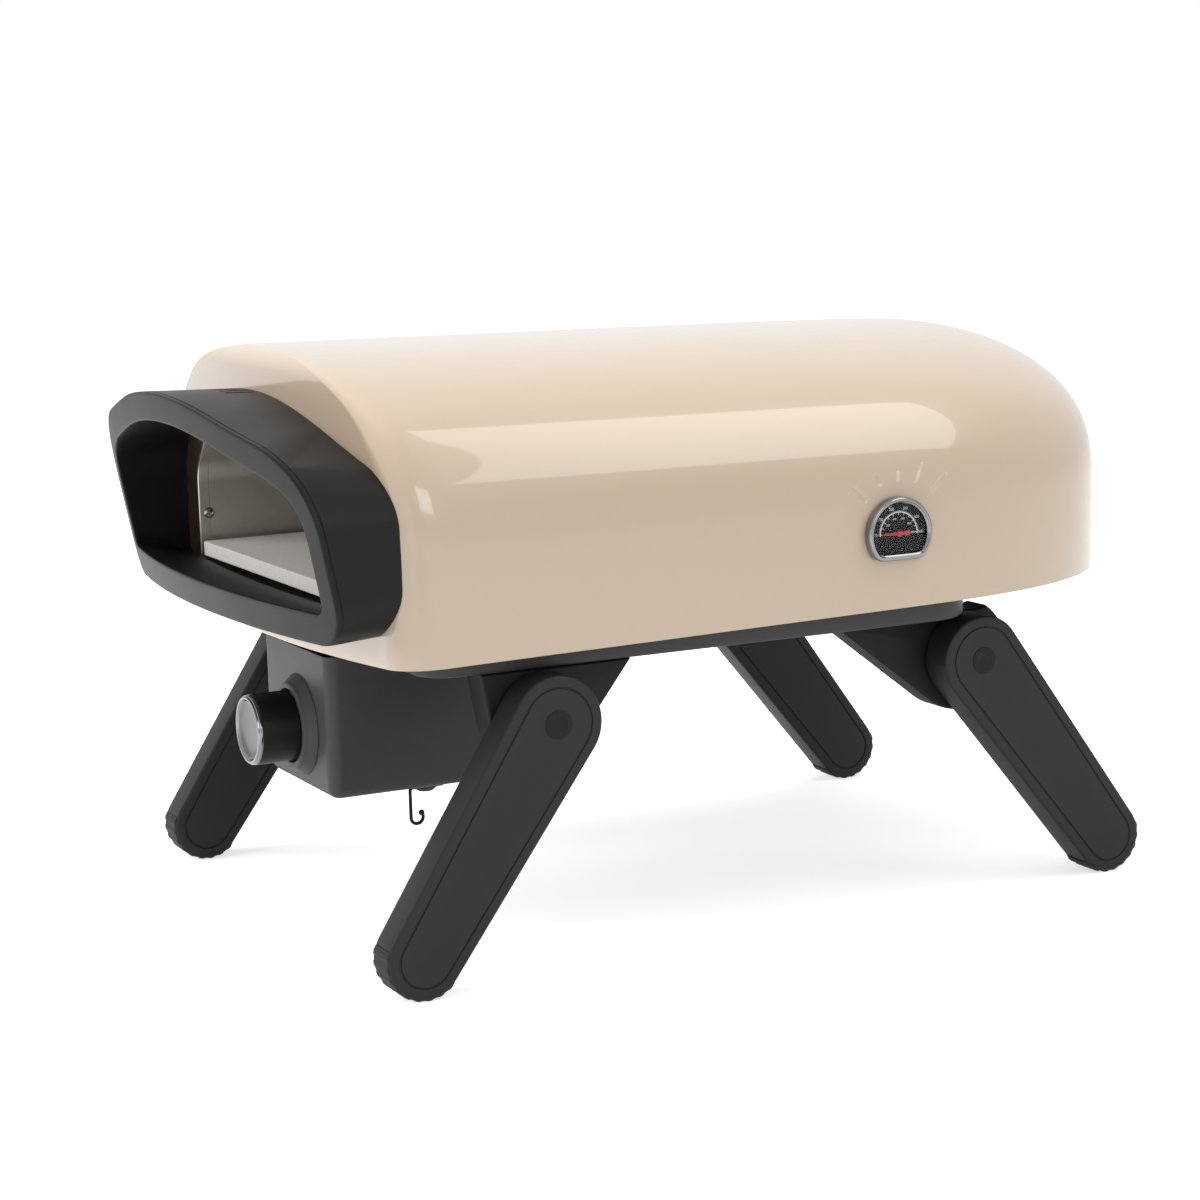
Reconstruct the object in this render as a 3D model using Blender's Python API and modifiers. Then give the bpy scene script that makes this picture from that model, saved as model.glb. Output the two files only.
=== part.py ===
# Portable gas pizza oven on four folding legs.
# Lengths are metres, angles are degrees. +Z is up, the mouth faces -Y and the
# thermometer side is +X. The floor is z = 0, under the middle of the oven.

import bpy
import bmesh
import math
from mathutils import Matrix, Vector

# Gaps between pieces
GAP = 0.0003
PIN_CLEARANCE = 0.0001
MOVING_GAP = 0.0008

# Sheet and wall thicknesses
SHEET = 0.0015

# Hood: one pressed shell
HOOD_HALF_WIDTH = 0.224
HOOD_LENGTH = 0.606
HOOD_FRONT_Y = -0.2438
HOOD_BOTTOM_Z = 0.211
HOOD_WALL_HEIGHT = 0.074
SHOULDER_RISE = 0.119
SHOULDER_POWER = 2.5
HOOD_FRONT_BOW = 0.016
HOOD_FRONT_DIP = 0.004
HOOD_REAR_RUN = 0.236
HOOD_REAR_POWER = 2.70
HOOD_REAR_FALL = 0.136
HOOD_REAR_FALL_POWER = 2.6
HOOD_TOP_SLOPE = 0.009
HOOD_EDGE_RISE = 0.010
HOOD_TOP_FILLET = 0.016
HOOD_FRONT_CORNER = 0.030
HOOD_RING_COUNT = 15
LAST_RING_ANGLE = 84.0

# Mouth frame: a bowed ring, leaning forward at the top
FRAME_BOW = 0.0242
FRAME_BOTTOM_FRONT_Y = -0.2773
FRAME_LEAN = 10.6
FRAME_FRONT_INSET = 0.0125
FRAME_OUTER_BOTTOM_Z = 0.2272
FRAME_TOP_DROP = 0.0176
FRAME_SIDE_TOP_DROP = 0.060
FRAME_SHOULDER_SHARE = 0.804
FRAME_SHOULDER_DROP = 0.036
FRAME_BOTTOM_RADIUS = 0.028
FRAME_SIDE_RADIUS = 0.052
FRAME_SHOULDER_RADIUS = 0.107
FRAME_CROWN_RADIUS = 0.42
FRAME_EDGE = 0.0015

# The frame's back, against the hood
FRAME_REAR_INSET = 0.0107
FRAME_REAR_BOTTOM_Z = 0.2290
FRAME_REAR_TOP_DROP = 0.0172
FRAME_REAR_SIDE_DROP = 0.058
FRAME_REAR_SHOULDER_SHARE = 0.544
FRAME_REAR_SHOULDER_DROP = 0.0287
FRAME_REAR_BOTTOM_RADIUS = 0.0334
FRAME_REAR_SIDE_RADIUS = 0.040
FRAME_REAR_SHOULDER_RADIUS = 0.242
FRAME_REAR_CROWN_RADIUS = 0.39

# The frame's opening, which flares and falls towards the hood
FRAME_BAND = 0.0170
FRAME_TOP_BAND = 0.0190
FRAME_BOTTOM_BAND = 0.0209
FRAME_TUNNEL_FLARE = 0.004
FRAME_THROAT_FALL = 0.008
FRAME_OPENING_BOTTOM_RADIUS = 0.0083
FRAME_OPENING_SIDE_RADIUS = 0.033
FRAME_OPENING_SHOULDER_RADIUS = 0.140
VENT_SLOT_COUNT = 4
VENT_SLOT_PITCH = 0.012
VENT_SLOT_WIDTH = 0.0035
VENT_SLOT_LENGTH = 0.020
VENT_SLOT_DEPTH = 0.004

# Base tray and chamber
TRAY_SIDE_INSET = 0.024
TRAY_FRONT_Y = -0.222
TRAY_REAR_INSET = 0.1422
TRAY_BOTTOM_Z = 0.2000
TRAY_TOP_Z = 0.2300
TRAY_CORNER = 0.024
TRAY_REAR_RUN = 0.060
CHAMBER_SIDE_INSET = 0.039
CHAMBER_FRONT_Y = -0.2405
CHAMBER_REAR_INSET = 0.1572
CHAMBER_BEND_RISE = 0.017
CHAMBER_CEILING_DROP = 0.052
CEILING_SIDE_INSET = 0.043
FLOOR_OVERHANG = 0.010
INSULATION = 0.012
INSULATION_FRONT_Y = -0.205
BAFFLE_DROP = 0.012
BAFFLE_DEPTH = 0.014
BAFFLE_FRONT_Y = -0.232
BAFFLE_NOTCH_COUNT = 7
BAFFLE_NOTCH = 0.008

# Pizza stone
STONE_SIDE_PLAY = 0.0125
STONE_GUARD_PLAY = 0.0427
STONE_THICK = 0.0108
STONE_FRONT_Y = -0.2427
STONE_EDGE = 0.0015
REST_HEIGHT = 0.0053
REST_WIDTH = 0.014
REST_INSET = 0.012
REST_SHORTER = 0.030

# Burner at the rear of the chamber
BURNER_REAR_INSET = 0.027
BURNER_Z = 0.262
BURNER_RADIUS = 0.011
BURNER_END_INSET = 0.035
BURNER_PORT_COUNT = 14
BURNER_PORT_RADIUS = 0.0016
BURNER_PORT_STEPS = 8
BRACKET_PLATE = 0.0015
BURNER_BRACKET_INSET = 0.032
BURNER_BRACKET_WIDTH = 0.016
GUARD_BURNER_GAP = 0.033
GUARD_HEIGHT = 0.042
GUARD_SLOT_COUNT = 11
GUARD_SLOT_WIDTH = 0.006
GUARD_SLOT_HEIGHT = 0.020
GUARD_FOOT = 0.012
MIXER_RADIUS = 0.0095
MIXER_FLARE_RADIUS = 0.012
MIXER_LENGTH = 0.030
PIPE_RADIUS = 0.004
PIPE_RUN_Z = 0.213
PIPE_X = 0.0273
JET_RADIUS = 0.0055
JET_BLOCK = 0.004
ELECTRODE_X = -0.060
ELECTRODE_RADIUS = 0.0035
ELECTRODE_LENGTH = 0.026
LEAD_RADIUS = 0.0015
LEAD_OFFSET = 0.012

# Gas box under the front
BOX_MIDDLE_X = 0.0205
BOX_HALF_WIDTH = 0.0625
BOX_FRONT_Y = -0.245
BOX_REAR_Y = -0.105
BOX_BOTTOM_Z = 0.1017
BOX_CORNER = 0.009
BOX_BOTTOM_ROUND = 0.0086
RISER_INSET = 0.032
BOX_VENT_COUNT = 5
BOX_VENT_PITCH = 0.014
BOX_VENT_WIDTH = 0.004
BOX_VENT_LENGTH = 0.030
KNOB_X = 0.0273
KNOB_Z = 0.1458
VALVE_HALF = 0.013
VALVE_LENGTH = 0.040
SPINDLE_RADIUS = 0.0035
SPINDLE_HOLE_RADIUS = 0.009
CAP_OUTER_RADIUS = 0.0075
CAP_THICK = 0.0025
PUSH_TRAVEL = 0.0030
INLET_Z = 0.150
INLET_HEX_RADIUS = 0.0095
INLET_HEX_LENGTH = 0.012
INLET_THREAD_RADIUS = 0.0065
INLET_THREAD_LENGTH = 0.016
INLET_BORE_RADIUS = 0.003

# Knob
COLLAR_BASE_RADIUS = 0.0353
COLLAR_FRONT_RADIUS = 0.0290
COLLAR_DEPTH = 0.0085
COLLAR_HOLE_RADIUS = 0.0180
KNOB_RADIUS = 0.0243
KNOB_LENGTH = 0.0258
KNOB_SKIRT_GAP = 0.0042
KNOB_EDGE = 0.001
KNOB_POINTER = 0.0012
RING_RADIUS = 0.0240
RING_INNER_RADIUS = 0.0202
RING_DEPTH = 0.0040
FACE_RADIUS = 0.0195
FACE_DISH = 0.0022
FACE_THICK = 0.0018

# Thermometer on the right wall
DIAL_REAR_INSET = 0.2482
DIAL_Z = 0.2689
DIAL_RADIUS = 0.0251
DIAL_FLAT_DROP = 0.0180
DIAL_ROUND_POWER = 14.0
BEZEL_DEPTH = 0.0070
BEZEL_BAND = 0.0042
BEZEL_ROUND = 0.0014
CASE_DEPTH = 0.0015
DIAL_PLATE = 0.0005
NEEDLE_LENGTH = 0.0165
NEEDLE_TAIL = 0.0100
NEEDLE_HALF_WIDTH = 0.0011
NEEDLE_THICK = 0.0005
NEEDLE_LIFT = 0.0008
HUB_RADIUS = 0.0022
LENS_THICK = 0.0010
NECK_RADIUS = 0.0080
NECK_SPARE = 0.0024
STEM_RADIUS = 0.0032
STEM_REACH = 0.022
NUT_RADIUS = 0.0125
NUT_THICK = 0.0040

# Folding legs: the rear pair stands further in, so it folds between the front pair
FRONT_LEG_SPREAD = 34.5
REAR_LEG_SPREAD = 37.2
PIVOT_Z = 0.1680
FRONT_PIVOT_Y = -0.1435
REAR_PIVOT_INSET = 0.0175
FOOT_RADIUS = 0.0268
PIVOT_END_RADIUS = 0.0315
LEG_END_RADIUS = 0.0255
LEG_THICK = 0.0270
FRONT_LEG_OVERHANG = 0.0284
REAR_LEG_INSET = 0.0039
LEG_ROUND = 0.0025
LEG_GROOVE_INSET = 0.0060
LEG_GROOVE_WIDTH = 0.0012
LEG_GROOVE_DEPTH = 0.0008
PAD_THICK = 0.0030
PAD_START = 160.0
PAD_END = 318.0
PAD_RIB_COUNT = 7
PAD_RIB_DEPTH = 0.0006
PAD_SIDE_INSET = 0.0015
PIN_RADIUS = 0.0050
PIN_HEAD_RADIUS = 0.0095
PIN_HEAD_THICK = 0.0022
PIN_HEAD_PROUD = 0.0006
LEG_BRACKET_THICK = 0.026
BOSS_RADIUS = 0.0270
BOSS_LENGTH = 0.0020
FRONT_BRACKET_AHEAD = 0.040
FRONT_BRACKET_BEHIND = 0.068
REAR_BRACKET_AHEAD = 0.105
REAR_BRACKET_BEHIND = 0.016
FRONT_BRACKET_RADIUS = 0.0340
REAR_BRACKET_RADIUS = 0.0400

# Wire hook and its saddle clip under the gas box
HOOK_X = 0.0655
HOOK_Y = -0.1815
HOOK_WIRE_RADIUS = 0.0012
HOOK_RUN = 0.024
HOOK_DROP = 0.021
HOOK_CURL = 0.0045
SADDLE_WIDTH = 0.010
SADDLE_REACH = 0.008
SADDLE_DEPTH = 0.0060

# Screws
SCREW_HEAD_RADIUS = 0.0040
SCREW_HEAD_HEIGHT = 0.0020
SCREW_SHANK_RADIUS = 0.0018
LINER_SCREW_Y = -0.2330
LINER_SCREW_Z = 0.2690

# Smoothness: how many steps each kind of round stretch is drawn with.
# The frame's straights are listed from the right wall round to the bottom edge.
ROUND_STEPS = 32
KNOB_STEPS = 48
SMALL_STEPS = 20
HEX_STEPS = 6
WIRE_ROUND_STEPS = 2
FRONT_POINTS = 10
FRONT_CORNER_POINTS = 5
SIDE_POINTS = 4
REAR_POINTS = 14
FRAME_ARC_STEPS = 7
FRAME_BACK_STEPS = 4
FRAME_STRAIGHT_STEPS = (3, 1, 4, 4, 1, 3, 12)
BOX_ROUND_STEPS = 4
CAPSULE_STEPS = 14
PIPE_BEND_STEPS = 5
NEEDLE_TAIL_STEPS = 8
HOOK_BEND_STEPS = 4
HOOK_CURL_STEPS = 12
RIB_STEPS = 4
FULL_TURN = 360.0

# Sizes worked out from the ones above
HOOD_REAR_Y = HOOD_FRONT_Y + HOOD_LENGTH
SHOULDER_START_Z = HOOD_BOTTOM_Z + HOOD_WALL_HEIGHT
HOOD_TOP_Z = SHOULDER_START_Z + SHOULDER_RISE
FRAME_OUTER_TOP_Z = HOOD_TOP_Z - FRAME_TOP_DROP
FRAME_REAR_TOP_Z = HOOD_TOP_Z - FRAME_REAR_TOP_DROP
CHAMBER_BEND_Z = SHOULDER_START_Z + CHAMBER_BEND_RISE
CHAMBER_CEILING_Z = HOOD_TOP_Z - CHAMBER_CEILING_DROP
FRAME_OUTER_HALF_WIDTH = HOOD_HALF_WIDTH - FRAME_FRONT_INSET
FRAME_REAR_HALF_WIDTH = HOOD_HALF_WIDTH - FRAME_REAR_INSET
TRAY_HALF_WIDTH = HOOD_HALF_WIDTH - TRAY_SIDE_INSET
TRAY_REAR_Y = HOOD_REAR_Y - TRAY_REAR_INSET
CHAMBER_HALF_WIDTH = HOOD_HALF_WIDTH - CHAMBER_SIDE_INSET
CHAMBER_REAR_Y = HOOD_REAR_Y - CHAMBER_REAR_INSET
CHAMBER_CEILING_HALF_WIDTH = CHAMBER_HALF_WIDTH - CEILING_SIDE_INSET
BURNER_Y = CHAMBER_REAR_Y - BURNER_REAR_INSET
BURNER_HALF_LENGTH = CHAMBER_HALF_WIDTH - BURNER_END_INSET
BURNER_BRACKET_X = BURNER_HALF_LENGTH - BURNER_BRACKET_INSET
GUARD_Y = BURNER_Y - GUARD_BURNER_GAP
STONE_HALF_WIDTH = CHAMBER_HALF_WIDTH - STONE_SIDE_PLAY
STONE_REAR_Y = GUARD_Y - STONE_GUARD_PLAY
DIAL_Y = HOOD_REAR_Y - DIAL_REAR_INSET
REAR_PIVOT_Y = TRAY_REAR_Y - REAR_PIVOT_INSET
FRONT_LEG_OUTER_X = TRAY_HALF_WIDTH + FRONT_LEG_OVERHANG
REAR_LEG_OUTER_X = TRAY_HALF_WIDTH - REAR_LEG_INSET
MIXER_TOP_Z = BURNER_Z - BURNER_RADIUS - GAP
MIXER_BOTTOM_Z = MIXER_TOP_Z - MIXER_LENGTH
BOX_TOP_Z = TRAY_BOTTOM_Z - GAP
RISER_Y = BOX_REAR_Y - RISER_INSET
VALVE_FRONT_Y = BOX_FRONT_Y + SHEET + GAP
CAP_DEPTH = PUSH_TRAVEL * 2 + CAP_THICK
COLLAR_BACK_Y = BOX_FRONT_Y - GAP
COLLAR_FACE_Y = COLLAR_BACK_Y - COLLAR_DEPTH
KNOB_BACK_Y = COLLAR_FACE_Y - KNOB_SKIRT_GAP
KNOB_FRONT_Y = KNOB_BACK_Y - KNOB_LENGTH
RING_BACK_Y = KNOB_FRONT_Y + RING_DEPTH - GAP
DIAL_WALL_X = HOOD_HALF_WIDTH + GAP
NEEDLE_BASE = CASE_DEPTH + GAP + DIAL_PLATE + NEEDLE_LIFT
NECK_REACH = SHEET + NUT_THICK + NECK_SPARE
NECK_END_X = HOOD_HALF_WIDTH - NECK_REACH
PAD_SEAT_RADIUS = FOOT_RADIUS - PAD_THICK
HOOK_WIRE_Z = BOX_BOTTOM_Z - GAP * 2 - HOOK_WIRE_RADIUS
HOOK_CUT_HALF = HOOK_WIRE_RADIUS + MOVING_GAP / 2
ELECTRODE_Y = BURNER_Y - BURNER_RADIUS - ELECTRODE_RADIUS - MOVING_GAP
CUT_MARGIN = GAP * 10
WELD = GAP / 30
FRAME_TOP_FRONT_Y = FRAME_BOTTOM_FRONT_Y - (
    (FRAME_OUTER_TOP_Z - FRAME_OUTER_BOTTOM_Z) * math.tan(math.radians(FRAME_LEAN)))
FRAME_SHOULDER_X = FRAME_OUTER_HALF_WIDTH * FRAME_SHOULDER_SHARE
FRAME_CROWN_DROP = FRAME_CROWN_RADIUS * (
    math.hypot(FRAME_SHOULDER_X, FRAME_SHOULDER_DROP) / FRAME_SHOULDER_X - 1)
FRAME_CROWN_Z = FRAME_OUTER_TOP_Z - FRAME_CROWN_DROP
FLANGE_Z = TRAY_TOP_Z
FLOOR_PLATE_Z = FLANGE_Z + SHEET + GAP
FLOOR_PLATE_TOP_Z = FLOOR_PLATE_Z + SHEET
REST_Z = FLOOR_PLATE_TOP_Z + GAP
STONE_BOTTOM_Z = REST_Z + REST_HEIGHT + GAP
LEG_DROP = PIVOT_Z - FOOT_RADIUS
FRONT_FOOT_Y = FRONT_PIVOT_Y - LEG_DROP * math.tan(math.radians(FRONT_LEG_SPREAD))
REAR_FOOT_Y = REAR_PIVOT_Y + LEG_DROP * math.tan(math.radians(REAR_LEG_SPREAD))
FRONT_END_Y = FRAME_TOP_FRONT_Y - FRAME_BOW + (
    FRAME_CROWN_DROP * math.tan(math.radians(FRAME_LEAN)))
REAR_END_Y = max(REAR_FOOT_Y + FOOT_RADIUS, HOOD_REAR_Y)
CENTRE_SHIFT_Y = -(FRONT_END_Y + REAR_END_Y) / 2


# Scene set-up
for old in list(bpy.data.objects):
    bpy.data.objects.remove(old, do_unlink=True)

OVEN = bpy.data.collections.new("portable_pizza_oven")
CUTTERS = bpy.data.collections.new("cutters")
bpy.context.scene.collection.children.link(OVEN)
bpy.context.scene.collection.children.link(CUTTERS)

ROOT = bpy.data.objects.new("oven_origin", None)
ROOT.location = (0, CENTRE_SHIFT_Y, 0)
OVEN.objects.link(ROOT)


# Materials
def make_material(name, color, roughness, metallic=0.0, alpha=1.0):
    """Make a Principled BSDF material with a plain finish."""
    material = bpy.data.materials.new(name)
    material.use_nodes = True
    shader = material.node_tree.nodes["Principled BSDF"]
    shader.inputs["Base Color"].default_value = (*color, 1)
    shader.inputs["Roughness"].default_value = roughness
    shader.inputs["Metallic"].default_value = metallic
    shader.inputs["Alpha"].default_value = alpha
    return material


ENAMEL = make_material("cream_enamel", (0.70, 0.58, 0.46), 0.25)
DARK_SATIN = make_material("dark_satin", (0.035, 0.036, 0.040), 0.45)
STEEL = make_material("brushed_steel", (0.55, 0.52, 0.48), 0.35, 1.0)
DARK_STEEL = make_material("dark_steel", (0.05, 0.05, 0.05), 0.55, 0.6)
GREY_PAINT = make_material("grey_paint", (0.075, 0.075, 0.078), 0.50)
BLACK_PAINT = make_material("black_paint", (0.020, 0.020, 0.022), 0.55)
LEG_PLASTIC = make_material("leg_plastic", (0.038, 0.040, 0.043), 0.50)
RUBBER = make_material("foot_rubber", (0.015, 0.015, 0.015), 0.80)
STONE = make_material("stone", (0.72, 0.69, 0.63), 0.85)
WOOL = make_material("insulation_wool", (0.75, 0.74, 0.70), 0.95)
CHROME = make_material("chrome", (0.80, 0.80, 0.82), 0.10, 1.0)
SATIN_METAL = make_material("satin_metal", (0.45, 0.45, 0.46), 0.35, 1.0)
BRASS = make_material("brass", (0.70, 0.52, 0.22), 0.30, 1.0)
DIAL_BLACK = make_material("dial_black", (0.012, 0.012, 0.013), 0.40)
NEEDLE_RED = make_material("needle_red", (0.65, 0.03, 0.03), 0.35)
CLEAR = make_material("clear_glass", (0.9, 0.95, 0.95), 0.05, 0.0, 0.25)
CERAMIC = make_material("ceramic_white", (0.85, 0.84, 0.80), 0.30)
LEAD_RUBBER = make_material("lead_sleeve", (0.60, 0.12, 0.08), 0.60)


# Building helpers
def add_mesh(name, points, faces, material, smooth=False, collection=OVEN):
    """Make a named mesh object from points and faces."""
    mesh = bpy.data.meshes.new(name)
    mesh.from_pydata([tuple(p) for p in points], [], faces)
    mesh.validate()
    mesh.update()
    thing = bpy.data.objects.new(name, mesh)
    collection.objects.link(thing)
    if material:
        mesh.materials.append(material)
    if smooth:
        mesh.polygons.foreach_set("use_smooth", [True] * len(mesh.polygons))
    thing.parent = ROOT
    return thing


def loft(name, sections, material, closed=False, smooth=False, collection=OVEN):
    """Join matching rings of points; the ends are capped unless closed."""
    count = len(sections[0])
    points = [p for ring in sections for p in ring]
    faces = []
    last = len(sections) if closed else len(sections) - 1
    for k in range(last):
        low = k * count
        high = ((k + 1) % len(sections)) * count
        for i in range(count):
            j = (i + 1) % count
            faces.append((low + i, low + j, high + j, high + i))
    if not closed:
        faces.append(tuple(reversed(range(count))))
        start = (len(sections) - 1) * count
        faces.append(tuple(range(start, start + count)))
    return add_mesh(name, points, faces, material, smooth, collection)


def flip_if_inside_out(thing):
    """Turn the faces outwards when the closed mesh has a negative volume."""
    volume = 0.0
    mesh = thing.data
    for polygon in mesh.polygons:
        ids = polygon.vertices
        first = mesh.vertices[ids[0]].co
        for k in range(1, len(ids) - 1):
            second = mesh.vertices[ids[k]].co
            third = mesh.vertices[ids[k + 1]].co
            volume += first.dot(second.cross(third))
    if volume < 0:
        mesh.flip_normals()
    return thing


def adopt(thing, name, material, collection):
    """Give a new primitive its name, material, collection and parent."""
    for owner in list(thing.users_collection):
        owner.objects.unlink(thing)
    collection.objects.link(thing)
    thing.name = name
    thing.data.name = name
    if material:
        thing.data.materials.append(material)
    thing.parent = ROOT
    return thing


def box(name, low, high, material, collection=OVEN):
    """Make an upright box between two corners."""
    bpy.ops.mesh.primitive_cube_add(size=1)
    thing = adopt(bpy.context.object, name, material, collection)
    low, high = Vector(low), Vector(high)
    thing.data.transform(Matrix.Diagonal((*(high - low), 1)))
    thing.data.transform(Matrix.Translation((low + high) / 2))
    return thing


AXIS_FRAMES = {
    "X": Matrix(((0, 0, 1), (1, 0, 0), (0, 1, 0))).to_4x4(),
    "Y": Matrix(((0, 1, 0), (0, 0, 1), (1, 0, 0))).to_4x4(),
    "Z": Matrix.Identity(4)}


def solid_from(holder, place, material, smooth, collection):
    """Turn a curve or a modified profile into a plain closed mesh, put in place."""
    graph = bpy.context.evaluated_depsgraph_get()
    mesh = bpy.data.meshes.new_from_object(holder.evaluated_get(graph))
    name = holder.name
    bpy.data.objects.remove(holder, do_unlink=True)
    weld_mesh(mesh)
    mesh.transform(place)
    mesh.name = name
    mesh.materials.clear()
    if material:
        mesh.materials.append(material)
    mesh.polygons.foreach_set("use_smooth", [smooth] * len(mesh.polygons))
    thing = bpy.data.objects.new(name, mesh)
    collection.objects.link(thing)
    thing.parent = ROOT
    return flip_if_inside_out(thing)


def lathe(name, axis, centre, profile, material, steps=ROUND_STEPS, closed=False,
          collection=OVEN):
    """Turn a profile of (height, radius) pairs round an axis with a Screw modifier."""
    if not closed:
        profile = [(profile[0][0], 0), *profile, (profile[-1][0], 0)]
    count = len(profile)
    edges = [(k, (k + 1) % count) for k in range(count if closed else count - 1)]
    mesh = bpy.data.meshes.new(name)
    mesh.from_pydata([(radius, 0, height) for height, radius in profile], edges, [])
    holder = bpy.data.objects.new(name, mesh)
    collection.objects.link(holder)
    turning = holder.modifiers.new("turning", "SCREW")
    turning.steps = turning.render_steps = steps
    turning.use_merge_vertices = True
    turning.merge_threshold = WELD
    place = Matrix.Translation(centre) @ AXIS_FRAMES[axis]
    return solid_from(holder, place, material, True, collection)


def rod(name, axis, centre, start, end, radius, material, steps=ROUND_STEPS, collection=OVEN):
    """Make a round bar along an axis, from start to end."""
    bpy.ops.mesh.primitive_cylinder_add(vertices=steps, radius=radius, depth=abs(end - start))
    bar = adopt(bpy.context.object, name, material, collection)
    bar.data.transform(Matrix.Translation((0, 0, (start + end) / 2)))
    bar.data.transform(Matrix.Translation(centre) @ AXIS_FRAMES[axis])
    bar.data.polygons.foreach_set("use_smooth", [True] * len(bar.data.polygons))
    return bar


def tube(name, points, radius, material, collection=OVEN):
    """Sweep a round wire along points."""
    curve = bpy.data.curves.new(name, "CURVE")
    curve.dimensions = "3D"
    curve.bevel_depth = radius
    curve.bevel_resolution = WIRE_ROUND_STEPS
    curve.use_fill_caps = True
    spline = curve.splines.new("POLY")
    spline.points.add(len(points) - 1)
    for point, place in zip(spline.points, points):
        point.co = (*place, 1)
    holder = bpy.data.objects.new(name, curve)
    collection.objects.link(holder)
    return solid_from(holder, Matrix.Identity(4), material, True, collection)


def weld_mesh(mesh):
    """Merge the doubled points that a converted curve has at its caps."""
    work = bmesh.new()
    work.from_mesh(mesh)
    bmesh.ops.remove_doubles(work, verts=work.verts, dist=WELD)
    work.to_mesh(mesh)
    work.free()


def boolean(thing, cutter, operation="DIFFERENCE"):
    """Cut thing with a cutter that stays in its own hidden collection."""
    cutter.hide_render = True
    cutter.display_type = "WIRE"
    change = thing.modifiers.new(cutter.name, "BOOLEAN")
    change.operation = operation
    change.solver = "EXACT"
    change.object = cutter
    return thing


def set_origin(thing, place):
    """Move an object's origin onto its joint without moving the shape."""
    place = Vector(place)
    thing.data.transform(Matrix.Translation(-place))
    thing.location = place
    return thing


def arc_points(centre, radius, start, end, steps):
    """Pairs on an arc, both ends included."""
    return [(centre[0] + radius * math.cos(math.radians(start + (end - start) * k / steps)),
             centre[1] + radius * math.sin(math.radians(start + (end - start) * k / steps)))
            for k in range(steps + 1)]


def bevelled(thing, width, segments=2):
    """Round the sharp edges of a plain solid."""
    change = thing.modifiers.new("rounded_edges", "BEVEL")
    change.width = width
    change.segments = segments
    change.limit_method = "ANGLE"
    return thing


def prism(name, axis, outline, low, high, material, collection=OVEN):
    """Push a flat outline of pairs from low to high along an axis, as a filled curve."""
    curve = bpy.data.curves.new(name, "CURVE")
    curve.dimensions = "2D"
    curve.fill_mode = "BOTH"
    curve.extrude = abs(high - low) / 2
    spline = curve.splines.new("POLY")
    spline.points.add(len(outline) - 1)
    for point, pair in zip(spline.points, outline):
        point.co = (*pair, 0, 1)
    spline.use_cyclic_u = True
    holder = bpy.data.objects.new(name, curve)
    collection.objects.link(holder)
    place = AXIS_FRAMES[axis] @ Matrix.Translation((0, 0, (low + high) / 2))
    return solid_from(holder, place, material, False, collection)


# Hood shape
def hood_half_width(z):
    """Half width of the hood at a height: straight wall, then a full shoulder."""
    if z <= SHOULDER_START_Z:
        return HOOD_HALF_WIDTH
    share = min((z - SHOULDER_START_Z) / (HOOD_TOP_Z - SHOULDER_START_Z), 1)
    return HOOD_HALF_WIDTH * (1 - share ** SHOULDER_POWER) ** (1 / SHOULDER_POWER)


def hood_front_corner(z):
    """Plan radius of the front corners, smaller towards the top."""
    share = max(0, (z - SHOULDER_START_Z) / (HOOD_TOP_Z - SHOULDER_START_Z))
    radius = HOOD_FRONT_CORNER + (HOOD_TOP_FILLET - HOOD_FRONT_CORNER) * share
    return min(radius, hood_half_width(z) / 2)


def bow_depth(x, bow):
    """How far a bowed wall stands ahead of its corners."""
    return bow * (1 - (x / HOOD_HALF_WIDTH) ** 2)


def round_inset(z, start, radius):
    """Inset of a rounded edge that begins at a height."""
    rise = min(max(z - start, 0), radius)
    return radius - math.sqrt(radius ** 2 - rise ** 2)


def hood_front_wall(x, z):
    """The y of the hood's front surface, corners included."""
    half = hood_half_width(z)
    corner = hood_front_corner(z)
    flat = half - corner
    y = HOOD_FRONT_Y - bow_depth(min(abs(x), flat), HOOD_FRONT_BOW)
    y += round_inset(z, HOOD_TOP_Z - HOOD_TOP_FILLET, HOOD_TOP_FILLET)
    past = abs(x) - flat
    if past > 0:
        past = min(past, corner)
        y += corner - math.sqrt(corner ** 2 - past ** 2)
    return y


def hood_ring(z, inset=0.0):
    """One level ring of the hood, seen from above, anticlockwise."""
    half = hood_half_width(z) - inset
    front = hood_front_corner(z)
    rear_y = HOOD_REAR_Y - inset
    height = min(max(0, (z - SHOULDER_START_Z) / (HOOD_TOP_Z - SHOULDER_START_Z)), 1)
    power = HOOD_REAR_FALL_POWER
    rear_y -= HOOD_REAR_FALL * (1 - (1 - height ** power) ** (1 / power))
    ring = plan_ring(half, HOOD_FRONT_Y, HOOD_FRONT_BOW, front, rear_y, HOOD_REAR_RUN,
                     HOOD_REAR_POWER)
    base = HOOD_FRONT_Y - bow_depth(half - front, HOOD_FRONT_BOW)
    lift = inset + round_inset(z, HOOD_TOP_Z - HOOD_TOP_FILLET, HOOD_TOP_FILLET)
    placed = []
    for x, y in ring:
        share = max(0, 1 - (y - base) / front) if y < base + front else 0
        y += lift * share
        placed.append((x, y, sloped(y, z)))
    return placed


def sloped(y, z):
    """Let the top fall and the lower edge rise a little towards the rear."""
    back = max(0, (y - HOOD_FRONT_Y) / HOOD_LENGTH)
    if z > SHOULDER_START_Z:
        return z - HOOD_TOP_SLOPE * back * (z - SHOULDER_START_Z) / (HOOD_TOP_Z - SHOULDER_START_Z)
    return z + HOOD_EDGE_RISE * back * (SHOULDER_START_Z - z) / (SHOULDER_START_Z - HOOD_BOTTOM_Z)


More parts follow.
